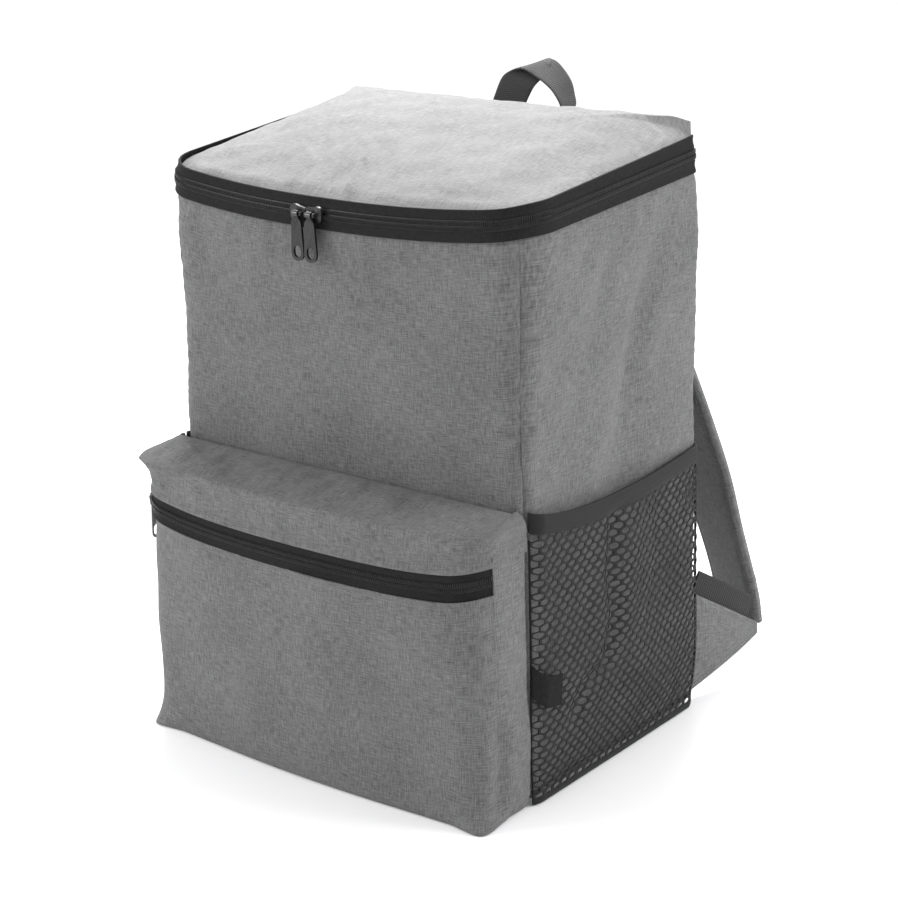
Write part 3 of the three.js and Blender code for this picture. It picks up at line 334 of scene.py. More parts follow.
# Materials
class Finish:
    """A procedural material: a few named steps over Blender's nodes."""

    def __init__(self, name, rough, metal=0.0, sheen=0.0, shine=0.5):
        self.material = bpy.data.materials.new(name)
        self.material.use_nodes = True
        self.tree = self.material.node_tree
        self.shader = self.tree.nodes["Principled BSDF"]
        self.shader.inputs["Roughness"].default_value = rough
        self.shader.inputs["Metallic"].default_value = metal
        self.shader.inputs["Sheen Weight"].default_value = sheen
        self.shader.inputs["Sheen Roughness"].default_value = 0.5
        self.shader.inputs["Specular IOR Level"].default_value = shine

    def node(self, kind, inputs=(), **settings):
        """A node with its settings made and its inputs set or linked."""
        node = self.tree.nodes.new("ShaderNode" + kind)
        for key, value in settings.items():
            setattr(node, key, value)
        for key, value in dict(inputs).items():
            if isinstance(value, bpy.types.NodeSocket):
                self.tree.links.new(value, node.inputs[key])
            else:
                node.inputs[key].default_value = value
        return node

    def place(self, scale, uv=True, turn=0.0):
        """The piece's cloth coordinates in millimetres, or its own space in metres, stretched by scale."""
        source = self.node("UVMap", uv_map="cloth") if uv else self.node("TexCoord")
        source = source.outputs["UV" if uv else "Object"]
        return self.node("Mapping", {"Vector": source, "Scale": scale, "Rotation": (0, 0, turn)}).outputs[0]

    def noise(self, place, scale=1.0, detail=2.0, rough=0.5):
        """Soft random greys at a place."""
        inputs = {"Vector": place, "Scale": scale, "Detail": detail, "Roughness": rough}
        return self.node("TexNoise", inputs).outputs[0]

    def sums(self, kind, a, b=0.0, c=0.0):
        """One arithmetic step."""
        return self.node("Math", {0: a, 1: b, 2: c}, operation=kind).outputs[0]

    def ramp(self, value, *stops):
        """Greys or colours at places between 0 and 1."""
        node = self.node("ValToRGB", {"Fac": value})
        while len(node.color_ramp.elements) < len(stops):
            node.color_ramp.elements.new(0.5)
        for element, (at, tone) in zip(node.color_ramp.elements, stops):
            element.position = at
            element.color = (*tone, 1) if isinstance(tone, tuple) else (tone, tone, tone * 1.01, 1)
        return node.outputs[0]

    def bump(self, height, depth, strength=1.0):
        """A fine relief of a depth in metres."""
        return self.node("Bump", {"Height": height, "Distance": depth, "Strength": strength}).outputs[0]

    def done(self, colour=None, normal=None, rough=None):
        """The finished material, with what is given linked to its shader."""
        for key, value in (("Base Color", colour), ("Normal", normal), ("Roughness", rough)):
            if value is not None:
                self.tree.links.new(value, self.shader.inputs[key])
        return self.material


def threads(f, pitch):
    """Height of a plain weave: the product of two sine waves at right angles."""
    x = f.node("SeparateXYZ", {0: f.place((TAU / pitch, TAU / pitch, 1))})
    return f.sums("MULTIPLY", f.sums("SINE", x.outputs[0]), f.sums("SINE", x.outputs[1]))


def heather_cloth(name, dark, light, contrast=1.0):
    """Two-tone woven cloth: short streaks along warp and weft, cloudy patches and a fine weave."""
    f = Finish(name, 0.92, sheen=0.06, shine=0.2)
    warp = f.noise(f.place((1.25, 0.13, 1)), 1.0, 3.0, 0.72)
    weft = f.noise(f.place((0.12, 1.35, 1)), 1.0, 3.0, 0.72)
    cloud = f.noise(f.place((0.018, 0.018, 1)), 1.0, 2.0)
    patches = f.sums("MULTIPLY_ADD", cloud, 0.12, -0.06)
    streak = f.sums("MULTIPLY_ADD", f.sums("ADD", warp, weft), 0.5, patches)
    middle = (dark + light) / 2
    spread = 0.16 / contrast
    colour = f.ramp(streak, (0.5 - spread, dark), (0.5, middle), (0.5 + spread, light))
    lift = f.sums("MULTIPLY_ADD", threads(f, 0.62), 0.5, streak)
    rough = f.ramp(streak, (0.3, 0.96), (0.7, 0.84))
    return f.done(colour, f.bump(lift, 0.00016, 0.75), rough)


def zip_tape():
    """Dark close-woven tape: fine ribs along it and a little dust."""
    f = Finish("zip_tape", 0.75, shine=0.08)
    ribs = f.sums("SINE", f.node("SeparateXYZ", {0: f.place((1, TAU / 0.55, 1))}).outputs[1])
    dust = f.noise(f.place((0.9, 0.35, 1)), 1.0, 4.0, 0.7)
    colour = f.ramp(dust, (0.3, 0.006), (0.72, 0.017))
    return f.done(colour, f.bump(f.sums("MULTIPLY_ADD", ribs, 0.35, dust), 0.00012, 0.6))


def zip_coil():
    """Dark nylon monofilament with a soft shine and a slight change of tone."""
    f = Finish("zip_coil", 0.36, shine=0.22)
    tone = f.noise(f.place((300, 300, 300), uv=False), 1.0, 3.0)
    return f.done(f.ramp(tone, (0.35, 0.005), (0.7, 0.015)), rough=f.ramp(tone, (0.3, 0.28), (0.7, 0.5)))


def net_strands():
    """Black knitted strands: fine filaments and knots of slightly different black."""
    f = Finish("net_strands", 0.75, shine=0.15)
    fibre = f.noise(f.place((2600, 2600, 900), uv=False), 1.0, 3.0, 0.7)
    tone = f.noise(f.place((90, 90, 90), uv=False), 1.0, 2.0)
    mixed = f.sums("MULTIPLY_ADD", fibre, 0.6, f.sums("MULTIPLY", tone, 0.4))
    colour = f.ramp(mixed, (0.3, 0.008), (0.7, 0.028))
    return f.done(colour, f.bump(fibre, 0.00012, 0.6))


def woven_webbing(name, dark, light, rib=1.9):
    """Ribbed webbing: ridges across and rows of stitches along, with the ridges' tops painted lighter and the
    grooves painted darker, as painted light and shade.
    """
    f = Finish(name, 0.75, sheen=0.04, shine=0.15)
    at = f.node("SeparateXYZ", {0: f.place((TAU / 1.15, TAU / rib, 1))})
    cross, line = f.sums("SINE", at.outputs[1]), f.sums("SINE", at.outputs[0])
    height = f.sums("MULTIPLY_ADD", f.sums("MULTIPLY", cross, line), 0.35, f.sums("MULTIPLY", cross, 0.3))
    fuzz = f.noise(f.place((2.2, 2.2, 1)), 1.0, 3.0, 0.65)
    # The colour follows the ribs' height: a painted highlight on their tops and painted shade in the grooves,
    # over a random fuzz of tone.
    tone = f.sums("MULTIPLY_ADD", height, 0.35, fuzz)
    return f.done(f.ramp(tone, (0.28, dark), (0.8, light)), f.bump(f.sums("ADD", height, fuzz), 0.00030, 0.7))


def dark_metal():
    """Black plated metal, rubbed brighter on its edges and speckled with fine wear."""
    f = Finish("dark_metal", 0.33, metal=0.85)
    wear = f.noise(f.place((700, 700, 700), uv=False), 1.0, 4.0, 0.7)
    edge = f.sums("MULTIPLY_ADD", f.node("NewGeometry").outputs["Pointiness"], 3.0, -1.15)
    colour = f.ramp(f.sums("ADD", edge, f.sums("MULTIPLY", wear, 0.35)), (0.35, 0.006), (0.8, 0.055))
    return f.done(colour, f.bump(wear, 0.00003, 0.3), f.ramp(wear, (0.3, 0.25), (0.7, 0.45)))


def bright_steel():
    """Brushed steel: long fine scratches down the plate."""
    f = Finish("bright_steel", 0.3, metal=0.95)
    brush = f.noise(f.place((4000, 4000, 120), uv=False), 1.0, 3.0, 0.6)
    return f.done(f.ramp(brush, (0.3, 0.42), (0.7, 0.62)), f.bump(brush, 0.00002, 0.35),
                  f.ramp(brush, (0.3, 0.22), (0.7, 0.42)))


def moulded_plastic():
    """Black moulded plastic with a fine spark-eroded grain."""
    f = Finish("moulded_plastic", 0.5, shine=0.35)
    grain = f.noise(f.place((1500, 1500, 1500), uv=False), 1.0, 2.0)
    return f.done(f.ramp(grain, (0.3, 0.012), (0.7, 0.024)), f.bump(grain, 0.00004, 0.4),
                  f.ramp(grain, (0.3, 0.42), (0.7, 0.58)))


def sewing_thread(name, dark, light):
    """Twisted thread: fine slanting plies."""
    f = Finish(name, 0.75, shine=0.2)
    ply = f.noise(f.place((900, 900, 900), uv=False), 1.0, 2.0)
    return f.done(f.ramp(ply, (0.3, dark), (0.7, light)), f.bump(ply, 0.00006, 0.5))


CLOTH = heather_cloth("heather_cloth", 0.045, 0.165)
# The lid's cloth is lighter than the walls' cloth. Part of that is its own lighter tone, and part is painted
# light standing in for the strong light that falls on the lid from above.
LID_CLOTH_LIT = heather_cloth("lid_cloth", 0.085, 0.25, 0.8)
TAPE, COIL, NET = zip_tape(), zip_coil(), net_strands()
WEBBING = woven_webbing("handle_webbing", 0.012, 0.07, 1.3)
ELASTIC = woven_webbing("elastic_band", 0.005, 0.020, 0.9)
COARSE = woven_webbing("strap_webbing", 0.005, 0.035, 2.4)
METAL, STEEL, PLASTIC = dark_metal(), bright_steel(), moulded_plastic()
THREAD = sewing_thread("grey_thread", 0.10, 0.22)


# Walls
def wall_level(z):
    """Half width, front, rear, corner radius and bow of the walls at a height, from the table of levels."""
    side, front, rear, turn, bow = (smooth(LEVELS[:, 0], LEVELS[:, k], z / ZIP_FRONT) for k in range(1, 6))
    corner = mix(LOWER_RADIUS, ZIP_RADIUS, turn)
    return side * BODY_WIDTH, front * BODY_DEPTH, rear * BODY_DEPTH, corner, bow * 4


def dent(y, z):
    """Depth of the side panels' slanting troughs: bells across them, none at the seams."""
    at, up = y / BODY_DEPTH, z / ZIP_FRONT
    edge = clamp(1 - (2.05 * at) ** 4) * clamp((1.02 - up) * 6) * clamp(up * 5)
    depth = sum(deep * np.exp(-4 * ((at - place + lean * (high - up)) / spread) ** 2)
                for place, high, lean, spread, deep in DENTS)
    return 4 * depth * edge


def wall(u, z, out=0.0):
    """The walls' outline by stations, moved out: flats at 0-1, 2-3, 4-5 and 6-7, quarter circles between."""
    u, z, out = np.broadcast_arrays(np.asarray(u, float), z, out)
    side, front, rear, corner, bow = wall_level(z)
    s = np.mod(u, 8)
    run = np.minimum(s.astype(int), 7)
    t = s - run
    flank = [mix(rear - REAR_RADIUS, corner - front, t), mix(corner - front, rear - REAR_RADIUS, t)]

    def arc(cx, cy, radius, start):
        angle = start + t * math.pi / 2
        return cx + (radius + out) * np.cos(angle), cy + (radius + out) * np.sin(angle)

    arcs = [arc(corner - side, corner - front, corner, math.pi),
            arc(side - corner, corner - front, corner, 1.5 * math.pi),
            arc(side - REAR_RADIUS, rear - REAR_RADIUS, REAR_RADIUS, 0.0),
            arc(REAR_RADIUS - side, rear - REAR_RADIUS, REAR_RADIUS, 0.5 * math.pi)]
    left, right = dent(flank[0], z) - side - out, side + out - dent(flank[1], z)
    x = np.choose(run, [left, arcs[0][0], mix(corner - side, side - corner, t), arcs[1][0],
                        right, arcs[2][0], mix(side - REAR_RADIUS, REAR_RADIUS - side, t), arcs[3][0]])
    y = np.choose(run, [flank[0], arcs[0][1], -front - out - bow * np.sin(math.pi * t), arcs[1][1],
                        flank[1], arcs[2][1], rear + out, arcs[3][1]])
    return np.stack([x, y, z], -1)


STATIONS = np.arange(-1, 9)
RUNS = np.array([12.6, 170.5, 16.5, 259.0, 16.5, 170.5, 12.6, 264.0, 12.6])
GIRTH = np.concatenate([[0], np.cumsum(RUNS)]) - 12.6


def girth(u):
    """Length round the walls from the rear of the left side, at a station."""
    return np.interp(u, STATIONS, GIRTH)


def station(length):
    """The station at that length."""
    return np.interp(length, GIRTH, STATIONS)


def band_foot(x, y):
    """Lower edge of the zip band: lowest at the front's middle, up to the corners and to the rear."""
    return (ZIP_FRONT + ZIP_CORNER_RISE * np.minimum(1, np.abs(2 * x / BODY_WIDTH)) ** 2.5
            + ZIP_REAR_RISE * clamp(y / BODY_DEPTH + 0.5))


def band_height(y):
    """Height of the zip band: more at the sides than at the front."""
    return mix(BAND_FRONT, BAND_SIDE, clamp(y / BODY_DEPTH + 0.5))


def lean_share(u):
    """All of the band's lean at the front, none at the rear seams."""
    s = np.mod(u, 8)
    return clamp((np.minimum(np.abs(s - 6.5), s + 1.5) - 1) / 3)


def panel_relief(u, z, head, first, last, seed):
    """How far a wall's cloth stands off: soft waves, gathers under its head, and puckers at its seams."""
    at = girth(u)
    edge = np.minimum(at - girth(first), girth(last) - at)
    below = head - z
    relief = 0.95 * waves(at, z, 110, seed) + 0.38 * waves(at, z, 38, seed + 1)
    relief = relief * (0.1 + 0.9 * ease(below / 16))
    gathers = (0.6 + 0.5 * waves(at, z * 0.2, 70, seed + 5)) * waves(at, z * 0.12, 19, seed + 2)
    puckers = 0.3 * np.sin(TAU * z / 9 + 2 * waves(at, z, 40, seed + 3)) * np.exp(-edge / 5)
    relief = relief + gathers * np.exp(-below / 30) * ease(below / 7) - 1.3 * bell(edge, 1.7) + puckers
    return relief - 0.9 * bell(below, 2.4) + 0.3 * bell(below - 5, 2.0)


# height, width, fade and line of each fold, over y and z on the side panels
SIDE_FOLDS = [
    (-1.3, 9, 0.35, [(43, 330), (27, 277), (4, 205)]), (0.9, 10, 0.35, [(62, 322), (47, 275), (30, 225)]),
    (0.7, 8, 0.35, [(-20, 342), (-36, 312), (-48, 262)]),
    (-0.8, 9, 0.35, [(-2, 344), (-18, 300), (-24, 250)])]


def wall_panel(name, first, last, head, step, seed):
    """One padded wall between two seams: the outline lifted by its relief, five millimetres thick."""
    start, end = girth(first), girth(last)
    columns = station(np.arange(start, end + step / 2, (end - start) / round((end - start) / step)))
    columns[0], columns[-1] = first, last
    plan = wall(columns, ZIP_FRONT)
    top = head(plan[:, 0], plan[:, 1])
    rows = np.linspace(0, 1, int(340 / step))
    z = mix(BASE_SEAM, top[None, :], rows[:, None])
    u = np.broadcast_to(columns, z.shape)
    relief = panel_relief(u, z, top[None, :], first, last, seed) - 1.6 * bell(z - BASE_SEAM, 2.0)
    if name.startswith("side"):
        depth = 1.7 if first > 0 else -1.02
        inside = clamp((np.minimum(u - first, last - u) - 0.3) * 3)
        relief = relief + depth * folds(wall(u, z)[..., 1], z, SIDE_FOLDS) * inside
    points, faces, uv = shell(wall(u, z, relief), wall(u, z, np.minimum(relief, 0.4) - 4.6))
    piece = put(name + "_cloth", points, faces, CLOTH, "cloth", uv, instead=(name,))


def front_head(x, y):
    """The front and side walls end under the lower zip tape."""
    return band_foot(x, y) + 0.2


def back_head(x, y):
    """The back rises past the zip's ends to the lid."""
    rear = ease((BODY_WIDTH / 2 - 7 - np.abs(x)) / 3)
    return mix(band_foot(BODY_WIDTH / 2, BODY_DEPTH / 2) + 0.2, LID_REAR - 0.6, rear)


# name, first and last station, head, grid step, seed
for row in (("front_panel", 1.5, 3.5, front_head, 2.5, 11),
            ("side_panel_right", 3.5, 5.5, front_head, 2.4, 23),
            ("side_panel_left", -0.5, 1.5, front_head, 2.8, 37),
            ("back_panel", 5.5, 7.5, back_head, 3.0, 41)):
    wall_panel(*row)


def base_panel():
    """The base: rings of the walls' outline that shrink to the middle, flat and turned up at the rim."""
    u = station(np.linspace(0, GIRTH[-2], 240, endpoint=False))
    s = np.concatenate([np.linspace(1, 0.9, 12), np.linspace(0.86, 0.03, 18)])[:, None]
    rim = wall(u, BASE_SEAM, -0.4)
    turn = clamp((s - 0.9) / 0.1)
    rise = BASE_SEAM * (1 - np.sqrt(1 - turn**2)) - 0.6 * turn
    lower = np.stack([rim[:, 0] * s, rim[:, 1] * s, np.broadcast_to(rise, (len(s), len(u)))], -1)
    rim = wall(u, BASE_SEAM, -4.6)
    upper = np.stack([rim[:, 0] * s, rim[:, 1] * s, np.full((len(s), len(u)), 7.0)], -1)
    uneven = 0.25 * waves(lower[..., 0], lower[..., 1], 60, 5)
    lower[..., 2] = np.maximum(lower[..., 2] + uneven * (1 - turn), 0)
    points, faces, uv = dome(lower, np.maximum(upper, lower))
    base = put("base_panel_cloth", points, faces, CLOTH, "cloth", uv, instead=("base_panel",))


base_panel()


# Lid
def lid_edge(u, out):
    """The line that the lid is sewn to: the zip band's top on three sides and the back panel's top behind."""
    plan = wall(u, ZIP_FRONT)
    z = band_foot(plan[..., 0], plan[..., 1]) + band_height(plan[..., 1])
    rear = ease(1 - lean_share(u) * 12)
    return wall(u, mix(z, LID_REAR, rear), out - BAND_LEAN * lean_share(u))


# over x and y: creases run in from the lid's front edge and its corners
LID_FOLDS = [
    (1.5, 2.6, 0.35, [(-33, -93), (-45, -66), (-60, -40)]),
    (-1.1, 5, 0.35, [(-24, -94), (-36, -62), (-50, -36)]),
    (1.7, 2.8, 0.35, [(16, -103), (2, -72), (-16, -31)]), (-1.2, 6, 0.35, [(30, -100), (14, -66), (-2, -28)]),
    (1.2, 2.4, 0.35, [(101, -62), (126, -74)]), (0.9, 3, 0.35, [(88, -55), (112, -84)]),
    (1.3, 3, 0.35, [(116, 66), (138, 56), (146, 40)]), (-0.9, 4, 0.35, [(122, 50), (142, 30)]),
    (1.0, 4, 0.35, [(-128, -70), (-104, -52), (-80, -44)]), (-0.8, 4, 0.35, [(-122, -78), (-96, -66)])]


def lid_relief(x, y, edge):
    """Wrinkles of the lid: its folds, a soft padded unevenness, and puckers along its seam."""
    lift = 1.2 * waves(x, y, 120, 51) * ease(edge / 40) + 0.55 * waves(x, y, 38, 52) * ease(edge / 15)
    pucker = 0.4 * np.sin((x + 0.6 * y) / 3.1 + 2.2 * waves(x, y, 30, 53))
    pucker = pucker * np.exp(-edge / 9) * ease(edge / 2)
    return 1.35 * (lift + folds(x, y, LID_FOLDS)) + pucker


def lid_panel():
    """The lid: rings from its edge to its middle, crowned by one less a power, sunk inside the rim."""
    u = station(np.linspace(0, GIRTH[-2], 300, endpoint=False))
    s = np.concatenate([1 - np.linspace(0, 0.1, 14), np.linspace(0.885, 0.02, 44)])[:, None]
    front, rear = lid_edge(2.5, 0.0), lid_edge(6.5, 0.0)
    middle = (front[1] + rear[1]) / 2
    at_front = lean_share(u) ** 0.5

    def rings(out, drop):
        edge = lid_edge(u, out)
        reach = np.hypot(edge[:, 0], edge[:, 1] - middle)
        y, x = mix(middle, edge[:, 1], s), edge[:, 0] * s
        slope = mix(front[2], rear[2], clamp((y - front[1]) / (rear[1] - front[1])))
        inwards = (1 - s) * reach
        rim = np.minimum(np.abs(np.mod(u, 8) - 1.5), 2)
        sunk = (1.6 + 3.6 * bell(rim, 0.8)) * at_front + 0.4
        top = mix(slope, edge[:, 2], s**6) + LID_CROWN * (1 - s**3.5)
        top = top - sunk * np.exp(-inwards / (5 + 8 * bell(rim, 0.8))) + 1.2 * bell(inwards - 9, 6) * at_front
        return np.stack([x, y, top + drop], -1), inwards

    outer, inwards = rings(-1.0 * at_front, 0.0)
    outer[..., 2] += lid_relief(outer[..., 0], outer[..., 1], inwards)
    inner, _ = rings(-1.0 * at_front - 3.5, -4.0)
    inner[..., 2] = np.minimum(inner[..., 2], outer[..., 2] - 0.8)
    points, faces, uv = dome(outer, inner)
    lid = put("lid_panel_cloth", points, faces, LID_CLOTH_LIT, "lid_cloth", uv, instead=("lid_panel",))


lid_panel()


# Main zip
BAND_U = station(np.linspace(girth(-0.47), girth(5.47), 300))


def zip_band(u, rise, out):
    """A place on the main zip's band, rise millimetres up it and out from its face, leaning in above."""
    plan = wall(u, ZIP_FRONT)
    tall = band_height(plan[..., 1])
    z = band_foot(plan[..., 0], plan[..., 1]) + rise
    return wall(u, z, out - BAND_LEAN * (rise / tall) ** 2 * lean_share(u))


def band_tall(u):
    """The same at a station."""
    return band_height(wall(u, ZIP_FRONT)[..., 1])


def tape_strip(name, place, us, low, high, node, thick=1.2, lift=0.0, slot="tape", finish=None, fold=True):
    """A tape between two heights: its face stands up beside the coil and where it is sewn at its edge."""
    v = np.linspace(0, 1, 9)[:, None]
    rise = mix(low[None], high[None], v)
    ridge = 0.35 * bell(v - 0.12, 0.12) + 0.35 * bell(v - 0.9, 0.1) - 0.15 * bell(v - 0.5, 0.2)
    ridge = ridge if fold else 0 * v
    u = np.broadcast_to(us, rise.shape)
    face = TAPE_FACE + lift
    points, faces, uv = shell(place(u, rise, face + ridge), place(u, rise, face - thick + 0 * ridge))
    return put(name, points, faces, finish or TAPE, slot, uv, instead=(node,))


def teeth(place, us, middle, out, pitch=1.35, reach=2.9):
    """Two rows of small bars across a zip, half a pitch apart, leaning over like a coil's turns."""
    template, faces = bead(reach, 0.47, 6, 1.25)
    parts = []
    for side in (-1, 1):
        line = place(us, middle + side * 1.62, out)
        outward = unit(place(us, middle, out + 1) - place(us, middle, out))
        spots, ahead, away = along(line, outward, pitch, 0.5 if side > 0 else 1.0)
        across = unit(np.cross(away, ahead)) * side
        lean = unit(across + ahead * 0.22)
        parts.append(repeat(template, faces, spots, lean, away))
    return joined(parts)


def zip_pieces(names, place, us, middle, low, high):
    """A zip's two tapes, the core of its coil and its teeth, round the band's middle line."""
    tape, coil, node = names
    below, above = middle - COIL_HALF, middle + COIL_HALF
    tape_strip(tape + "tape_lower_cloth", place, us, low, below - 0.1, node + "tape_lower")
    tape_strip(tape + "tape_upper_cloth", place, us, above + 0.1, high, node + "tape_upper")
    tape_strip(coil + "coil_core", place, us, below, above, node + "coil", 1.6, 0.3, "coil", COIL, False)
    put(coil + "coil_teeth", *teeth(place, us, middle, 1.15), COIL, "coil")


HALF = band_tall(BAND_U) / 2
zip_pieces(("zip_", "zip_", "main_zip_"), zip_band, BAND_U, HALF, 0 * HALF - 0.2, 2 * HALF)


# Front pocket
_, BACK_FRONT, _, _, BACK_BOW = wall_level(np.array(POCKET_TOP))
POCKET_BACK = float(BACK_FRONT + BACK_BOW + 0.3)


def pocket(u, z, out=0.0, flare=0.0):
    """The pocket's outline by stations: two sides, two corners and a bowed front, open behind."""
    u, z, out, flare = np.broadcast_arrays(np.asarray(u, float), z, out, flare)
    seam, r = BODY_DEPTH / 2 - POCKET_LAP, POCKET_RADIUS
    wall_side = wall_level(z)[0]
    side = wall_side + flare + POCKET_BELLY * np.sin(math.pi * clamp(z / POCKET_ZIP))
    front = POCKET_BACK + POCKET_DEPTH + flare
    s = clamp(u, 0, 5)
    run = np.minimum(s.astype(int), 4)
    t = s - run
    left, right = math.pi + t * math.pi / 2, 1.5 * math.pi + t * math.pi / 2
    x = np.choose(run, [-mix(wall_side, side, t) - out, r - side + (r + out) * np.cos(left),
                        mix(r - side, side - r, t), side - r + (r + out) * np.cos(right),
                        mix(side, wall_side, t) + out])
    y = np.choose(run, [mix(-seam, r - front, t), r - front + (r + out) * np.sin(left),
                        -front - out - POCKET_BOW * np.sin(math.pi * t),
                        r - front + (r + out) * np.sin(right), mix(r - front, -seam, t)])
    return np.stack([x, y, z], -1)


def pocket_foot(x):
    """Lower edge of the pocket's zip: level at the middle, up at its ends, sagging where the slider hangs."""
    return (POCKET_ZIP + POCKET_ZIP_RISE * np.minimum(1, np.abs(2 * x / BODY_WIDTH)) ** 4
            - POCKET_SAG * ease((-x / BODY_WIDTH - 0.475) / 0.025))


def pocket_corner(u, width):
    """All at the two front corners, little beside."""
    return bell(u - 1.5, width) + bell(u - 3.5, width)


def pocket_seam(u, z):
    """Where the pocket's cloth meets the front panel or the base, straight behind a place of its outline."""
    on = pocket(u, z)
    reach = wall_level(z)[0] - LOWER_RADIUS / 2
    x = clamp(on[..., 0], -reach, reach)
    return np.stack([x, np.full_like(x, -POCKET_BACK), on[..., 2]], -1)


POCKET_RUNS = np.concatenate([[0], np.cumsum([22.0, 40.8, 228.0, 40.8, 22.0])])
POCKET_U = np.unique(np.round(np.concatenate([
    np.interp(np.arange(0, POCKET_RUNS[-1] + 1, 2.3), POCKET_RUNS, np.arange(6)),
    [0, 1.02, POCKET_START, POCKET_END, 3.78, 5]]), 4))


def pocket_girth(u):
    """Length round the pocket at a station of it."""
    return np.interp(u, np.arange(6), POCKET_RUNS)


# on the pocket's front: at its corners over u * 20 and z, and on its face over x and z
POCKET_CORNER_FOLDS = [
    (-3.78, 3.2, 0.25, [(74.5, 74), (75.5, 50), (76, 4)]),
    (1.8, 3.6, 0.35, [(71.5, 90), (71.5, 50), (71, 10)]),
    (-1.6, 4, 0.35, [(24.5, 96), (25.5, 60), (25, 14)])]
POCKET_FACE_FOLDS = [
    (0.9, 14, 0.35, [(118, 118), (108, 80), (112, 30)]),
    (-0.7, 16, 0.35, [(-96, 110), (-104, 60), (-92, 18)])]
# on the pocket's top part, over x and the height that goes on rising across the brow
POCKET_TOP_FOLDS = [
    (-2.6, 1.5, 0.35, [(112, 181), (128, 186), (139, 191)]),
    (1.3, 3, 0.35, [(110, 185), (127, 190), (138, 196)]),
    (1.4, 3.2, 0.35, [(92, 172), (112, 178), (136, 180)]),
    (-1.2, 3, 0.35, [(96, 166), (118, 171), (140, 172)]),
    (1.5, 3, 0.35, [(-132, 186), (-112, 184), (-86, 190)]),
    (-1.4, 4, 0.35, [(-134, 178), (-112, 176), (-92, 180)]),
    (1.2, 7, 0.35, [(-8, 190), (-12, 176), (-16, 163)]), (-1.0, 8, 0.35, [(10, 190), (6, 172)]),
    (0.9, 6, 0.35, [(58, 190), (62, 172)]), (-0.8, 8, 0.35, [(-60, 188), (-54, 168)])]


def pocket_relief(u, z, x):
    """The pocket's soft waves, with the folds that hang from its zip and stand in its lower corners."""
    at = pocket_girth(u)
    relief = 1.1 * waves(at, z, 130, 61) + 0.45 * waves(at, z, 42, 62)
    relief = relief + 0.35 * waves(at, z * 0.1, 24, 63) * np.exp(-np.abs(z - POCKET_ZIP) / 20)
    return relief + folds(u * 20, z, POCKET_CORNER_FOLDS) + folds(x, z, POCKET_FACE_FOLDS)


def pocket_front_face(u, v, skin=0.0):
    """Below the zip: the floor for v to 1 and then up, with pointed bottom corners and a hem at the zip."""
    u, v = np.broadcast_arrays(u, v)
    plan = pocket(u, POCKET_ZIP)
    zip_line = pocket_foot(plan[..., 0])
    tab = (u < POCKET_START) | (u > POCKET_END)
    head = np.where(tab, zip_line + POCKET_BAND, zip_line)
    rise = clamp(v - 1)
    z = mix(0.5, head, rise)
    tip = POCKET_TIP * pocket_corner(u, 0.3) * np.exp(-z / POCKET_TIP_HEIGHT)
    hem = 0.9 * bell(zip_line - z, 2.6) * ~tab - 0.8 * bell(zip_line - z - 4.6, 1.4) * ~tab
    edge = np.minimum(u, 5 - u) * 22
    roll = -1.2 * bell(edge, 1.8) + 0.3 * np.sin(z / 1.3) * np.exp(-edge / 4)
    # the turn between the floor and the face is rounded
    turn = 2.2 * np.exp(-z / 2.0)
    relief = (pocket_relief(u, z, plan[..., 0]) * ease(z / 14) + hem + roll - turn) + skin
    face = pocket(u, z, relief, tip)
    low = np.full_like(z, 0.5)
    rim = pocket(u, low, skin - 2.2, POCKET_TIP * pocket_corner(u, 0.3))
    floor = mix(pocket_seam(u, low), rim, clamp(v)[..., None])
    floor[..., 2] = 0.4 - skin * 0.8
    face[..., 2] = np.maximum(face[..., 2], 0.4 - skin * 0.8)
    return np.where((v < 1)[..., None], floor, face)


def pocket_top_face(u, v, skin=0.0):
    """Above the zip: up to the brow for v to 1, then back to the front panel, with wrinkles and ears."""
    u, v = np.broadcast_arrays(u, v)
    plan = pocket(u, POCKET_ZIP)
    foot = pocket_foot(plan[..., 0]) + POCKET_BAND
    ear = pocket_corner(u, 0.4)
    brow = POCKET_BROW - POCKET_BROW_DROP * (1 - np.minimum(ear, 1))
    rise, back = clamp(v), clamp(v - 1)
    z = mix(foot, brow, rise)
    tab = (u < POCKET_START) | (u > POCKET_END)
    hem = (0.9 * bell(z - foot, 2.6) - 0.8 * bell(z - foot - 4.6, 1.4)) * ~tab
    at = pocket_girth(u)
    soft = 0.8 * waves(at, v * 40, 60, 71) + 0.45 * waves(at, v * 30, 21, 72)
    soft = soft + 0.25 * waves(at, v * 30, 9, 73) * ease(np.abs(at - 177) / 120)
    face = pocket(u, z, skin + hem + soft * ease(rise * 2) * (1 - 0.6 * back), POCKET_EAR * ear * rise**3)
    seam = pocket_seam(u, np.full_like(z, POCKET_TOP))
    over = mix(face, seam, back[..., None])
    over[..., 2] = mix(z, POCKET_TOP, np.sin(back * math.pi / 2)) + skin * np.minimum(1, back * 3) * 0.9
    uneven = 0.9 * waves(at, back * 43, 34, 74) + 0.6 * waves(at, back * 43, 14, 75)
    over[..., 2] += uneven * np.sin(math.pi * back)
    over[..., 2] -= 1.6 * bell(back - 1, 0.05)
    creased = folds(over[..., 0], z + back * 16, POCKET_TOP_FOLDS)
    away = np.stack([0.2 * np.sign(over[..., 0]), back - 1, back], -1)
    return over + unit(away) * creased[..., None] * (1 - 0.5 * back[..., None])


def soften(grid, times, first=0, last=None):
    """Rows of a grid eased towards their neighbours: a quarter from each side, a few times."""
    last = len(grid) - 1 if last is None else last
    for _ in range(times):
        eased = 0.25 * grid[:-2] + 0.5 * grid[1:-1] + 0.25 * grid[2:]
        grid[max(first, 1):last] = eased[max(first, 1) - 1:last - 1]
    return grid


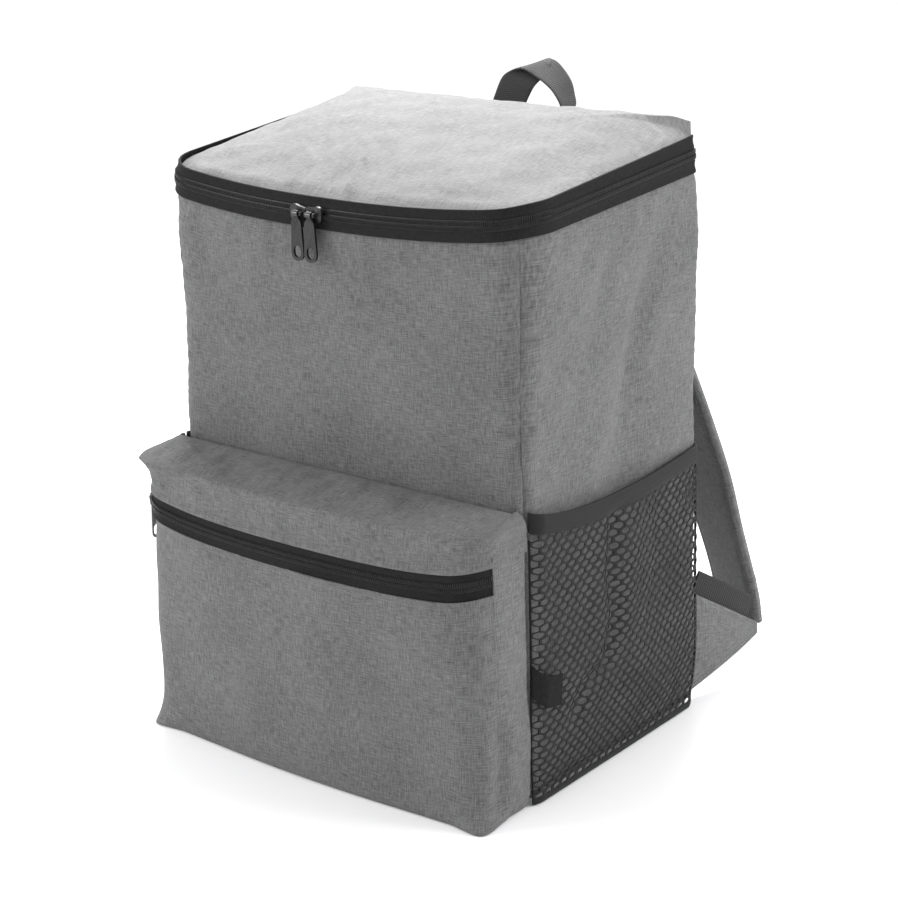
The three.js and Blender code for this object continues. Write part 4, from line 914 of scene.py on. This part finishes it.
def pocket_pieces():
    """The two cloth parts of the pocket, as closed shells two millimetres thick."""
    v = np.concatenate([[0, 0.5, 0.85, 0.97], 1 + np.linspace(0, 1, 64) ** 1.15])[:, None]
    outer = pocket_front_face(POCKET_U[None], v)
    inner = pocket_front_face(POCKET_U[None], v, -1.6)
    points, faces, uv = shell(outer, inner)
    front = put("pocket_front_cloth", points, faces, CLOTH, "cloth", uv, instead=("pocket_front",))
    v = np.concatenate([np.linspace(0, 1, 26), 1 + np.linspace(0.04, 1, 24)])[:, None]
    outer = soften(pocket_top_face(POCKET_U[None], v), 3, 12, 40)
    inner = soften(pocket_top_face(POCKET_U[None], v, -1.6), 3, 12, 40)
    points, faces, uv = shell(outer, inner)
    top = put("pocket_top_cloth", points, faces, CLOTH, "cloth", uv, instead=("pocket_top",))


pocket_pieces()


def pocket_band(u, rise, out):
    """A place on the pocket's zip band."""
    u, rise, out = np.broadcast_arrays(u, rise, out)
    foot = pocket_foot(pocket(u, POCKET_ZIP)[..., 0])
    return pocket(u, foot + rise, out - 0.9)


POCKET_BAND_U = np.linspace(POCKET_START + 0.004, POCKET_END - 0.004, 220)
FLAT = np.ones_like(POCKET_BAND_U)
zip_pieces(("pocket_", "pocket_", "pocket_zip_"), pocket_band, POCKET_BAND_U, POCKET_BAND / 2 * FLAT,
           -0.3 * FLAT, (POCKET_BAND + 0.3) * FLAT)


# Stitches
STITCH_RADIUS = 0.3


def stitches(name, rows, length, pitch):
    """Rows of stitches, half sunk: small rounded bars along lines. A row is a line and its outward side."""
    template, ids = bead(length, STITCH_RADIUS, 5)
    parts = []
    for line, outward in rows:
        spots, ahead, away = along(line, outward, pitch)
        parts.append(repeat(template, ids, spots, ahead, away))
    points, faces = joined(parts)
    return put(name, points, faces, THREAD, "cloth")


def surface_line(surface, u, v, lift):
    """A line on a surface of two parameters, with its outward side from the surface's two slopes."""
    here = surface(u, v)
    over = np.cross(surface(u + 0.004, v) - here, surface(u, v + 0.004) - here)
    over = unit(over)
    over = over * np.sign(np.einsum("ij,ij->i", over, here * [1, 1, 0.3]))[:, None]
    return here + over * lift, over


run = np.linspace(POCKET_START, POCKET_END, 400)
foot = pocket_foot(pocket(run, POCKET_ZIP)[:, 0])
line, outward = surface_line(pocket_front_face, run, 1 + (foot - 4.4 - 0.5) / (foot - 0.5), 0.12)
stitches("pocket_front_stitches", [(line, outward)], 3.1 * 0.66, 3.1)


# Side pockets of net
def net_top(y):
    """Top of the elastic band: highest at the front seam."""
    at = 2 * y / BODY_DEPTH
    return NET_BAND_TOP + NET_BAND_RISE * np.where(at < 0, -(at**3), 0.3 * at**2)


def net_out(t, up):
    """How far the net stands off the side: little at the seams, most at its middle, less at its foot."""
    across = np.sin(math.pi * clamp(t)) ** 0.9 * (1 - 0.85 * ease((t - 0.5) / 0.4))
    low, high = 1 - (1 - clamp(up / 0.4)) ** 2, clamp((up - 0.4) / 0.6) ** 2
    return NET_EDGE + (NET_BULGE - NET_EDGE) * across * (mix(0.02, 1, low) - 0.2 * high)


# over y and z: a slack fold that hangs in the net, and what stands beside it
NET_FOLDS = [
    (-4.6, 6.5, 0.12, [(-6, 188), (-8, 172), (-14, 131), (-9, 99), (-18, 72), (-40, 66), (-56, 44)]),
    (1.6, 8, 0.35, [(-20, 176), (-30, 121), (-32, 86)]), (1.8, 9, 0.35, [(13, 172), (6, 110), (-3, 76)]),
    (-1.6, 9, 0.35, [(44, 176), (38, 120), (24, 70)])]


def net_folds(y, z):
    """The net's folds, with a little unevenness."""
    return folds(y, z, NET_FOLDS) + 0.7 * waves(y, z, 52, 81)


def net_surface(t, z, out, flank):
    """A place on the side pocket: across it by t, at a height, out from the net's own face."""
    t, z, out = np.broadcast_arrays(t, z, out)
    u = mix(NET_FROM, NET_TO, t)
    plan = wall(u, NET_BAND_TOP)
    level = np.maximum(z, BASE_SEAM)
    under_band = ease((net_top(plan[..., 1]) - 10 - z) / 12 + 0.25)
    inside = ease(np.minimum(t, 1 - t) / 0.12) * ease((z - 4) / 18) * under_band
    rear = 1 - 0.6 * ease((t - 0.72) / 0.2)
    stand = (net_out(t, z / NET_BAND_TOP) + net_folds(plan[..., 1], z) * inside) * rear
    point = wall(u, level, np.maximum(stand, 1.2) + out + dent(plan[..., 1], level))
    point[..., 0] *= flank
    point[..., 2] = z
    return point


NET_SHARES = np.linspace(0, 1, 200)
NET_RUN = np.concatenate([[0], np.cumsum(np.linalg.norm(
    np.diff(wall(mix(NET_FROM, NET_TO, NET_SHARES), 90.0, 4.0), axis=0), axis=1))])
CELL_WIDTH, ROW_PITCH, STRAND = 8.6, 4.1, 1.3


def net_share(length):
    """Share across the net at a length from its front seam."""
    return np.interp(length, NET_RUN, NET_SHARES)


def net_cells(flank):
    """Knitted net: six-sided cells in staggered rows, each a rounded hole in a web of shared corners."""
    whole = NET_RUN[-1]
    columns, rows = int(whole / CELL_WIDTH) + 2, int(205 / ROW_PITCH)
    i, j = np.meshgrid(np.arange(-1, columns), np.arange(0, rows))
    a = (i + 0.5 * (j % 2)) * CELL_WIDTH + 0.5
    b = j * ROW_PITCH + NET_FLOOR + 1.0
    y = wall(mix(NET_FROM, NET_TO, net_share(np.clip(a, 0, whole))), NET_BAND_TOP)[..., 1]
    keep = (a > 0.5) & (a < whole - 0.5) & (b < net_top(y) - NET_BAND + 2.5) & (b > NET_FLOOR + 1.8)
    a, b = a[keep], b[keep]
    random = np.random.default_rng(7)
    # six corners with the middles of the six sides between them
    corner = np.array([(0, 2), (0.5, 1), (0.5, -1), (0, -2), (-0.5, -1), (-0.5, 1)])
    corner = corner * [CELL_WIDTH, ROW_PITCH / 3]
    ring = np.stack([corner, (corner + np.roll(corner, -1, 0)) / 2], 1).reshape(-1, 2)
    angle = np.arctan2(ring[:, 1] / ROW_PITCH, ring[:, 0] / CELL_WIDTH * 1.7)
    half_width, half_height = CELL_WIDTH / 2 - STRAND * 0.85, ROW_PITCH * 0.667 - STRAND * 0.52
    hole = np.stack([np.cos(angle) * half_width, np.sin(angle) * half_height], -1)
    hole = mix(hole, ring * 0.72, 0.35)
    outer = np.stack([a, b], -1)[:, None] + ring[None]
    size = 1 + 0.06 * random.standard_normal((len(a), 1, 1))
    inner = np.stack([a, b], -1)[:, None] + hole[None] * size
    # corners and side middles that neighbours share become one point
    key = np.round(outer.reshape(-1, 2) * [4, 6]).astype(np.int64)
    _, first, which = np.unique(key, axis=0, return_index=True, return_inverse=True)
    shared = outer.reshape(-1, 2)[first]
    which = which.reshape(len(a), 12)
    flat = np.concatenate([shared, inner.reshape(-1, 2)])
    holes = len(shared) + np.arange(len(a) * 12).reshape(-1, 12)
    quads = np.stack([which, np.roll(which, -1, 1), np.roll(holes, -1, 1), holes], -1).reshape(-1, 4)
    t = net_share(np.clip(flat[:, 0], 0, whole))
    z = np.clip(flat[:, 1], NET_FLOOR, None)
    rounding = np.where(np.arange(len(flat)) < len(shared), 0.35, 0.0)
    above, below = net_surface(t, z, rounding, flank), net_surface(t, z, -0.55 - rounding * 0.3, flank)
    count = len(flat)
    # the rims: the holes' own, and every side that no other cell shares
    sides = np.stack([which, np.roll(which, -1, 1)], -1).reshape(-1, 2)
    _, where, uses = np.unique(np.sort(sides, 1), axis=0, return_index=True, return_counts=True)
    bare = sides[where[uses == 1]]
    rim = np.stack([bare[:, 1], bare[:, 0], bare[:, 0] + count, bare[:, 1] + count], -1)
    edge = np.stack([holes, np.roll(holes, -1, 1)], -1).reshape(-1, 2)
    inside = np.stack([edge[:, 0], edge[:, 1], edge[:, 1] + count, edge[:, 0] + count], -1)
    return np.concatenate([above, below]), [np.concatenate([quads, quads[:, ::-1] + count, rim, inside])]


for flank, side in ((1, "right"), (-1, "left")):
    points, faces = net_cells(flank)
    net = put("net_" + side, points, faces, NET, "net", instead=("mesh_pocket_" + side,), angle=60)
    t = np.linspace(0, 1, 120)[None]
    plan = wall(mix(NET_FROM, NET_TO, t), NET_BAND_TOP)
    v = np.linspace(0, 1, 12)[:, None]
    z = net_top(plan[..., 1]) - NET_BAND * (1 - v)
    ribs = 0.16 * np.cos(v * TAU * 4) + 0.55 * np.sin(math.pi * v) ** 0.4
    points, faces, uv = shell(net_surface(t, z, ribs, flank), net_surface(t, z, -1.2 + 0 * ribs, flank))
    band = put("net_band_" + side, points, faces, ELASTIC, "webbing", uv, instead=("mesh_band_" + side,))
    tall = np.linspace(NET_FLOOR + 1.0, NET_BAND_TOP - 8, 60)[:, None]
    across = np.linspace(0, 1, 7)[None]
    turned = 0.55 * np.sqrt(clamp(np.sin(math.pi * across)))
    strips = [shell(net_surface(first + 0.022 * across, tall, turned, flank),
                    net_surface(first + 0.022 * across, tall, -1.1 + 0 * turned, flank))
              for first in (0.0, 0.978)]
    z = mix(NET_FLOOR - 1.0, NET_FLOOR + 3.2, v)
    turned = 0.55 * np.sqrt(clamp(np.sin(math.pi * v)))
    strips.append(shell(net_surface(t, z, turned, flank), net_surface(t, z, -1.0 + 0 * turned, flank)))
    points, faces = joined([strip[:2] for strip in strips])
    uv = np.concatenate([strip[2] for strip in strips])
    binding = put("net_binding_" + side, points, faces, ELASTIC, "webbing", uv)


def seam_label():
    """A folded cloth tag sewn into the right front seam, bare, with a raised woven border."""
    s, v = np.meshgrid(np.linspace(0, 1, 26), np.linspace(0, 1, 26))
    span = 12.0 / 171.0
    u = mix(NET_FROM, 4 + span, s)
    z = 95 - 10 * s - 20 * (1 - v)
    t = (u - NET_FROM) / (NET_TO - NET_FROM)
    border = np.minimum(np.minimum(s * 20, (1 - s) * 20), np.minimum(v * 20, (1 - v) * 20))
    curl = 1.6 * s**3
    lift = 1.3 + curl + 0.18 * bell(border - 1.2, 0.5)
    points, faces, uv = shell(net_surface(t, z, lift, 1), net_surface(t, z, lift - 0.9, 1))
    tag = put("label_tag", points, faces, TAPE, "tape", uv, instead=("seam_label",))


seam_label()


# Handle and straps
def handle():
    """The handle: a webbing ribbon from its front edge across, by a turn and a dip at each point."""
    foot = float(wall_level(np.array(HANDLE_FOOT))[2]) + WEBBING_THICK / 2 + 0.3
    edge = np.stack([HANDLE_ROUTE[:, 0] * HANDLE_SPAN, foot + HANDLE_ROUTE[:, 2] * (HANDLE_LEAN - foot),
                     HANDLE_FOOT + HANDLE_ROUTE[:, 1] * (HANDLE_TOP - HANDLE_FOOT)], -1)
    t = np.linspace(0, 1, 110)
    keys = np.linspace(0, 1, len(HANDLE_ROUTE))
    turn, dip = (np.radians(smooth(keys, HANDLE_ROUTE[:, k], t)) for k in (3, 4))
    across = np.stack([np.cos(turn) * np.cos(dip), np.sin(turn) * np.cos(dip), -np.sin(dip)], -1)
    normal = unit(np.cross(tangent(edge, t), across))
    middle = route(edge, t) + across * WEBBING_WIDTH / 2
    points, faces, uv = ribbon(middle, across, normal, pad_profile(WEBBING_WIDTH, WEBBING_THICK, 0.9, 8, 36))
    piece = put("handle_webbing_loop", points, faces, WEBBING, "webbing", uv, instead=("top_handle",))


handle()


def strap_path(flank):
    """Middle line of a shoulder strap: down the back panel and then bowed out behind it to its foot."""
    z = mix(STRAP_FOOT, STRAP_TOP, STRAP_ROUTE[:, 0])
    start = STRAP_THICK / 2 + 0.9
    hug = float(wall_level(np.array(STRAP_TOP))[2]) + start
    y = np.maximum(hug + STRAP_ROUTE[:, 1] * STRAP_BOW, wall_level(z)[2] + start)
    return np.stack([flank * mix(STRAP_TOP_X, STRAP_FOOT_X, STRAP_ROUTE[:, 2]), y, z], -1)


def strap_frame(flank, t):
    """Middle, sideways and normal directions of a strap at shares t: its width turns towards its foot."""
    path = strap_path(flank)
    turn = np.radians(STRAP_TURN) * np.interp(t, STRAP_ROUTE[:, 0], STRAP_ROUTE[:, 3])
    ahead = tangent(path, t)
    across = np.stack([np.cos(turn) * flank, -np.sin(turn), 0 * turn], -1)
    across = unit(across - ahead * np.einsum("ij,ij->i", ahead, across)[:, None])
    return route(path, t), across, np.cross(ahead, across)


def shoulder_strap(flank, side):
    """A padded strap: a flat oval with a sewn channel inside each edge, and stitches in the channels."""
    t = np.linspace(0, 1, 120)
    middle, across, normal = strap_frame(flank, t)
    profile = pad_profile(STRAP_WIDTH, STRAP_THICK, 0.3, 4, 64, 0.22)
    points, faces, uv = ribbon(middle, across, normal, profile)
    strap = put("strap_pad_" + side, points, faces, CLOTH, "cloth", uv, instead=("shoulder_strap_" + side,))
    reach, height = STRAP_WIDTH / 2 - 5, STRAP_THICK * 0.5 * 0.62
    rows = [(middle + across * s * reach + normal * face * height, normal * face)
            for s in (-1, 1) for face in (-1, 1)]
    stitches("strap_stitches_" + side, rows, 2.1, 3.2)


def wing_place(flank, s, v):
    """A cloth triangle at the rear corner: from the rear seam to a narrow tip, bent outwards."""
    s, v = np.broadcast_arrays(s, v)
    root, tip = mix(WING_FLOOR, WING_HEIGHT, s), WING_TIP_HEIGHT + (s - 0.5) * WING_TIP_WIDTH
    x = wall_level(np.array(WING_HEIGHT))[0] - WING_INSET + WING_BEND * np.sin(math.pi * v / 2)
    rear = wall_level(np.maximum(root, BASE_SEAM))[2] + 0.3
    return np.stack([flank * x, mix(rear, WING_END, v), mix(root, tip, v)], -1)


def strap_wing(flank, side):
    """The wing: two layers of cloth, stitched round, with the webbing on its inner face."""
    s, v = np.meshgrid(np.linspace(0, 1, 34), np.linspace(0, 1, 44))
    middle = wing_place(flank, s, v)
    edge = np.minimum(np.minimum(s, 1 - s) * mix(75, 8, v), (1 - v) * 78)
    puff = np.sqrt(clamp(1 - np.exp(-edge / 1.0))) - 0.35 * bell(edge - 3.6, 1.0)
    wave = 0.7 * waves(v * 80, s * 70, 45, 91)
    half = WING_THICK / 2 * mix(0.35, 1.0, puff)
    outer, inner = middle.copy(), middle.copy()
    outer[..., 0] += flank * (half + wave * 0.6 * ease(edge / 8))
    inner[..., 0] -= flank * (half - wave * 0.3 * ease(edge / 8))
    points, faces, uv = shell(outer, inner)
    wing = put("wing_cloth_" + side, points, faces, CLOTH, "cloth", uv, instead=("strap_wing_" + side,))
    t = np.linspace(0.05, 0.93, 60)
    inset = clamp(3.6 / mix(75, 8, t), 0, 0.5)
    outward = np.broadcast_to([float(flank), 0, 0], (60, 3))
    stand = outward * (WING_THICK / 2 * 0.85 + 0.1)
    rows = [(wing_place(flank, share, t) + stand, outward) for share in (inset, 1 - inset)]
    stitches("wing_stitches_" + side, rows, 2.1, 3.2)
    inwards = -flank * (WING_THICK / 2 + 0.4 + WEBBING_THICK / 2)
    path = wing_place(flank, 1.0, np.linspace(0.12, 0.9, 5)) + [inwards, 0, 4]
    t = np.linspace(0, 1, 60)
    ahead = tangent(path, t)
    up = unit(np.array([0, 0, 1.0]) - ahead * ahead[:, 2:])
    profile = pad_profile(WEBBING_WIDTH, WEBBING_THICK, 0.9, 8, 36)
    points, faces, uv = ribbon(route(path, t), up, np.cross(ahead, up), profile)
    lower = put("webbing_lower_" + side, points, faces, COARSE, "webbing", uv,
                instead=("strap_webbing_" + side,))


for flank, side in ((1, "right"), (-1, "left")):
    shoulder_strap(flank, side)
    strap_wing(flank, side)


# Metal and plastic parts
def crisp(node, finish, width, body):
    """A copy of a hard CAD part with its triangles merged and its edges rounded by a bevel."""
    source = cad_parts[node]
    mesh = source.data.copy()
    mesh.name = node + "_finished"
    mesh.transform(source.matrix_world)
    work = bmesh.new()
    work.from_mesh(mesh)
    bmesh.ops.remove_doubles(work, verts=work.verts, dist=2e-6)
    bmesh.ops.dissolve_limit(work, angle_limit=math.radians(2), verts=work.verts, edges=work.edges)
    work.to_mesh(mesh)
    work.free()
    mesh.materials.clear()
    mesh.materials.append(finish)
    mesh.polygons.foreach_set("use_smooth", np.ones(len(mesh.polygons), bool))
    mesh.set_sharp_from_angle(angle=math.radians(40))
    piece = bpy.data.objects.new(node + "_finished", mesh)
    SCENE.collection.objects.link(piece)
    bevel = piece.modifiers.new("rounded_edges", "BEVEL")
    bevel.width, bevel.segments, bevel.limit_method, bevel.angle_limit = width, 2, "ANGLE", math.radians(35)
    bevel.harden_normals = False
    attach(piece, body)
    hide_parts(node)
    return piece


for side in ("left", "right"):
    crisp("main_slider_" + side, METAL, 0.00028, "bag")
    crisp("main_pull_" + side, METAL, 0.00028, "pull_" + side)
    crisp("strap_buckle_" + side, PLASTIC, 0.0006, "bag")
crisp("pocket_slider", METAL, 0.00028, "bag")
crisp("pocket_pull", STEEL, 0.00028, "pull_pocket")


# Camera, floor and light
def camera():
    """The photograph's view: a long lens from the right front and above, rolled a little."""
    turn, lift, roll = math.radians(38.92), math.radians(18.27), math.radians(-1.7)
    back = np.array([math.sin(turn) * math.cos(lift), -math.cos(turn) * math.cos(lift), math.sin(lift)])
    right = np.array([math.cos(turn), math.sin(turn), 0.0])
    up = np.cross(back, right)
    right, up = right * math.cos(roll) + up * math.sin(roll), up * math.cos(roll) - right * math.sin(roll)
    data = bpy.data.cameras.new("camera")
    data.sensor_width, data.lens = 36.0, 2200.0 * 36 / 898
    data.clip_start, data.clip_end = 0.05, 60
    eye = bpy.data.objects.new("camera", data)
    place = np.eye(4)
    place[:3, 0], place[:3, 1], place[:3, 2], place[:3, 3] = right, up, back, (0.86181, -1.05492, 0.62901)
    eye.matrix_world = Matrix(place.tolist())
    SCENE.collection.objects.link(eye)
    SCENE.camera = eye


def lamp(name, place, aim, size, power):
    """A soft square light that faces a place."""
    data = bpy.data.lights.new(name, "AREA")
    data.size, data.energy = size, power
    obj = bpy.data.objects.new(name, data)
    way = unit(np.array(place, float) - np.array(aim, float))
    side = unit(np.cross([0.013, 0.02, 1.0], way))
    turn = np.eye(4)
    turn[:3, 0], turn[:3, 1], turn[:3, 2], turn[:3, 3] = side, np.cross(way, side), way, place
    obj.matrix_world = Matrix(turn.tolist())
    obj.visible_camera = False
    SCENE.collection.objects.link(obj)


def studio():
    """A wide pale floor under a white sky, with soft lights above, behind and in front."""
    mesh = bpy.data.meshes.new("floor")
    span = 14.0
    corners = [(x * span, y * span, -0.0004) for x, y in ((-1, -1), (1, -1), (1, 1), (-1, 1))]
    mesh.from_pydata(corners, [], [(0, 1, 2, 3)])
    f = Finish("studio_floor", 0.85)
    tone = f.noise(f.place((0.6, 0.6, 0.6), uv=False), 1.0, 2.0)
    mesh.materials.append(f.done(f.ramp(tone, (0.3, 0.80), (0.7, 0.82))))
    floor = bpy.data.objects.new("floor", mesh)
    SCENE.collection.objects.link(floor)
    world = bpy.data.worlds.new("studio_sky")
    world.use_nodes = True
    sky = world.node_tree.nodes["Background"]
    sky.inputs[0].default_value, sky.inputs[1].default_value = (1, 1, 1, 1), 1.25
    SCENE.world = world
    lamp("top_light", (-0.25, 0.35, 0.95), (-0.02, 0.02, 0.38), 0.5, 16.0)
    lamp("front_light", (-1.3, -1.2, 0.9), (0, 0, 0.25), 0.8, 22.0)
    lamp("side_light", (1.5, 0.75, 0.9), (0, 0, 0.25), 0.8, 24.0)
    SCENE.view_settings.view_transform = "Standard"


camera()
studio()
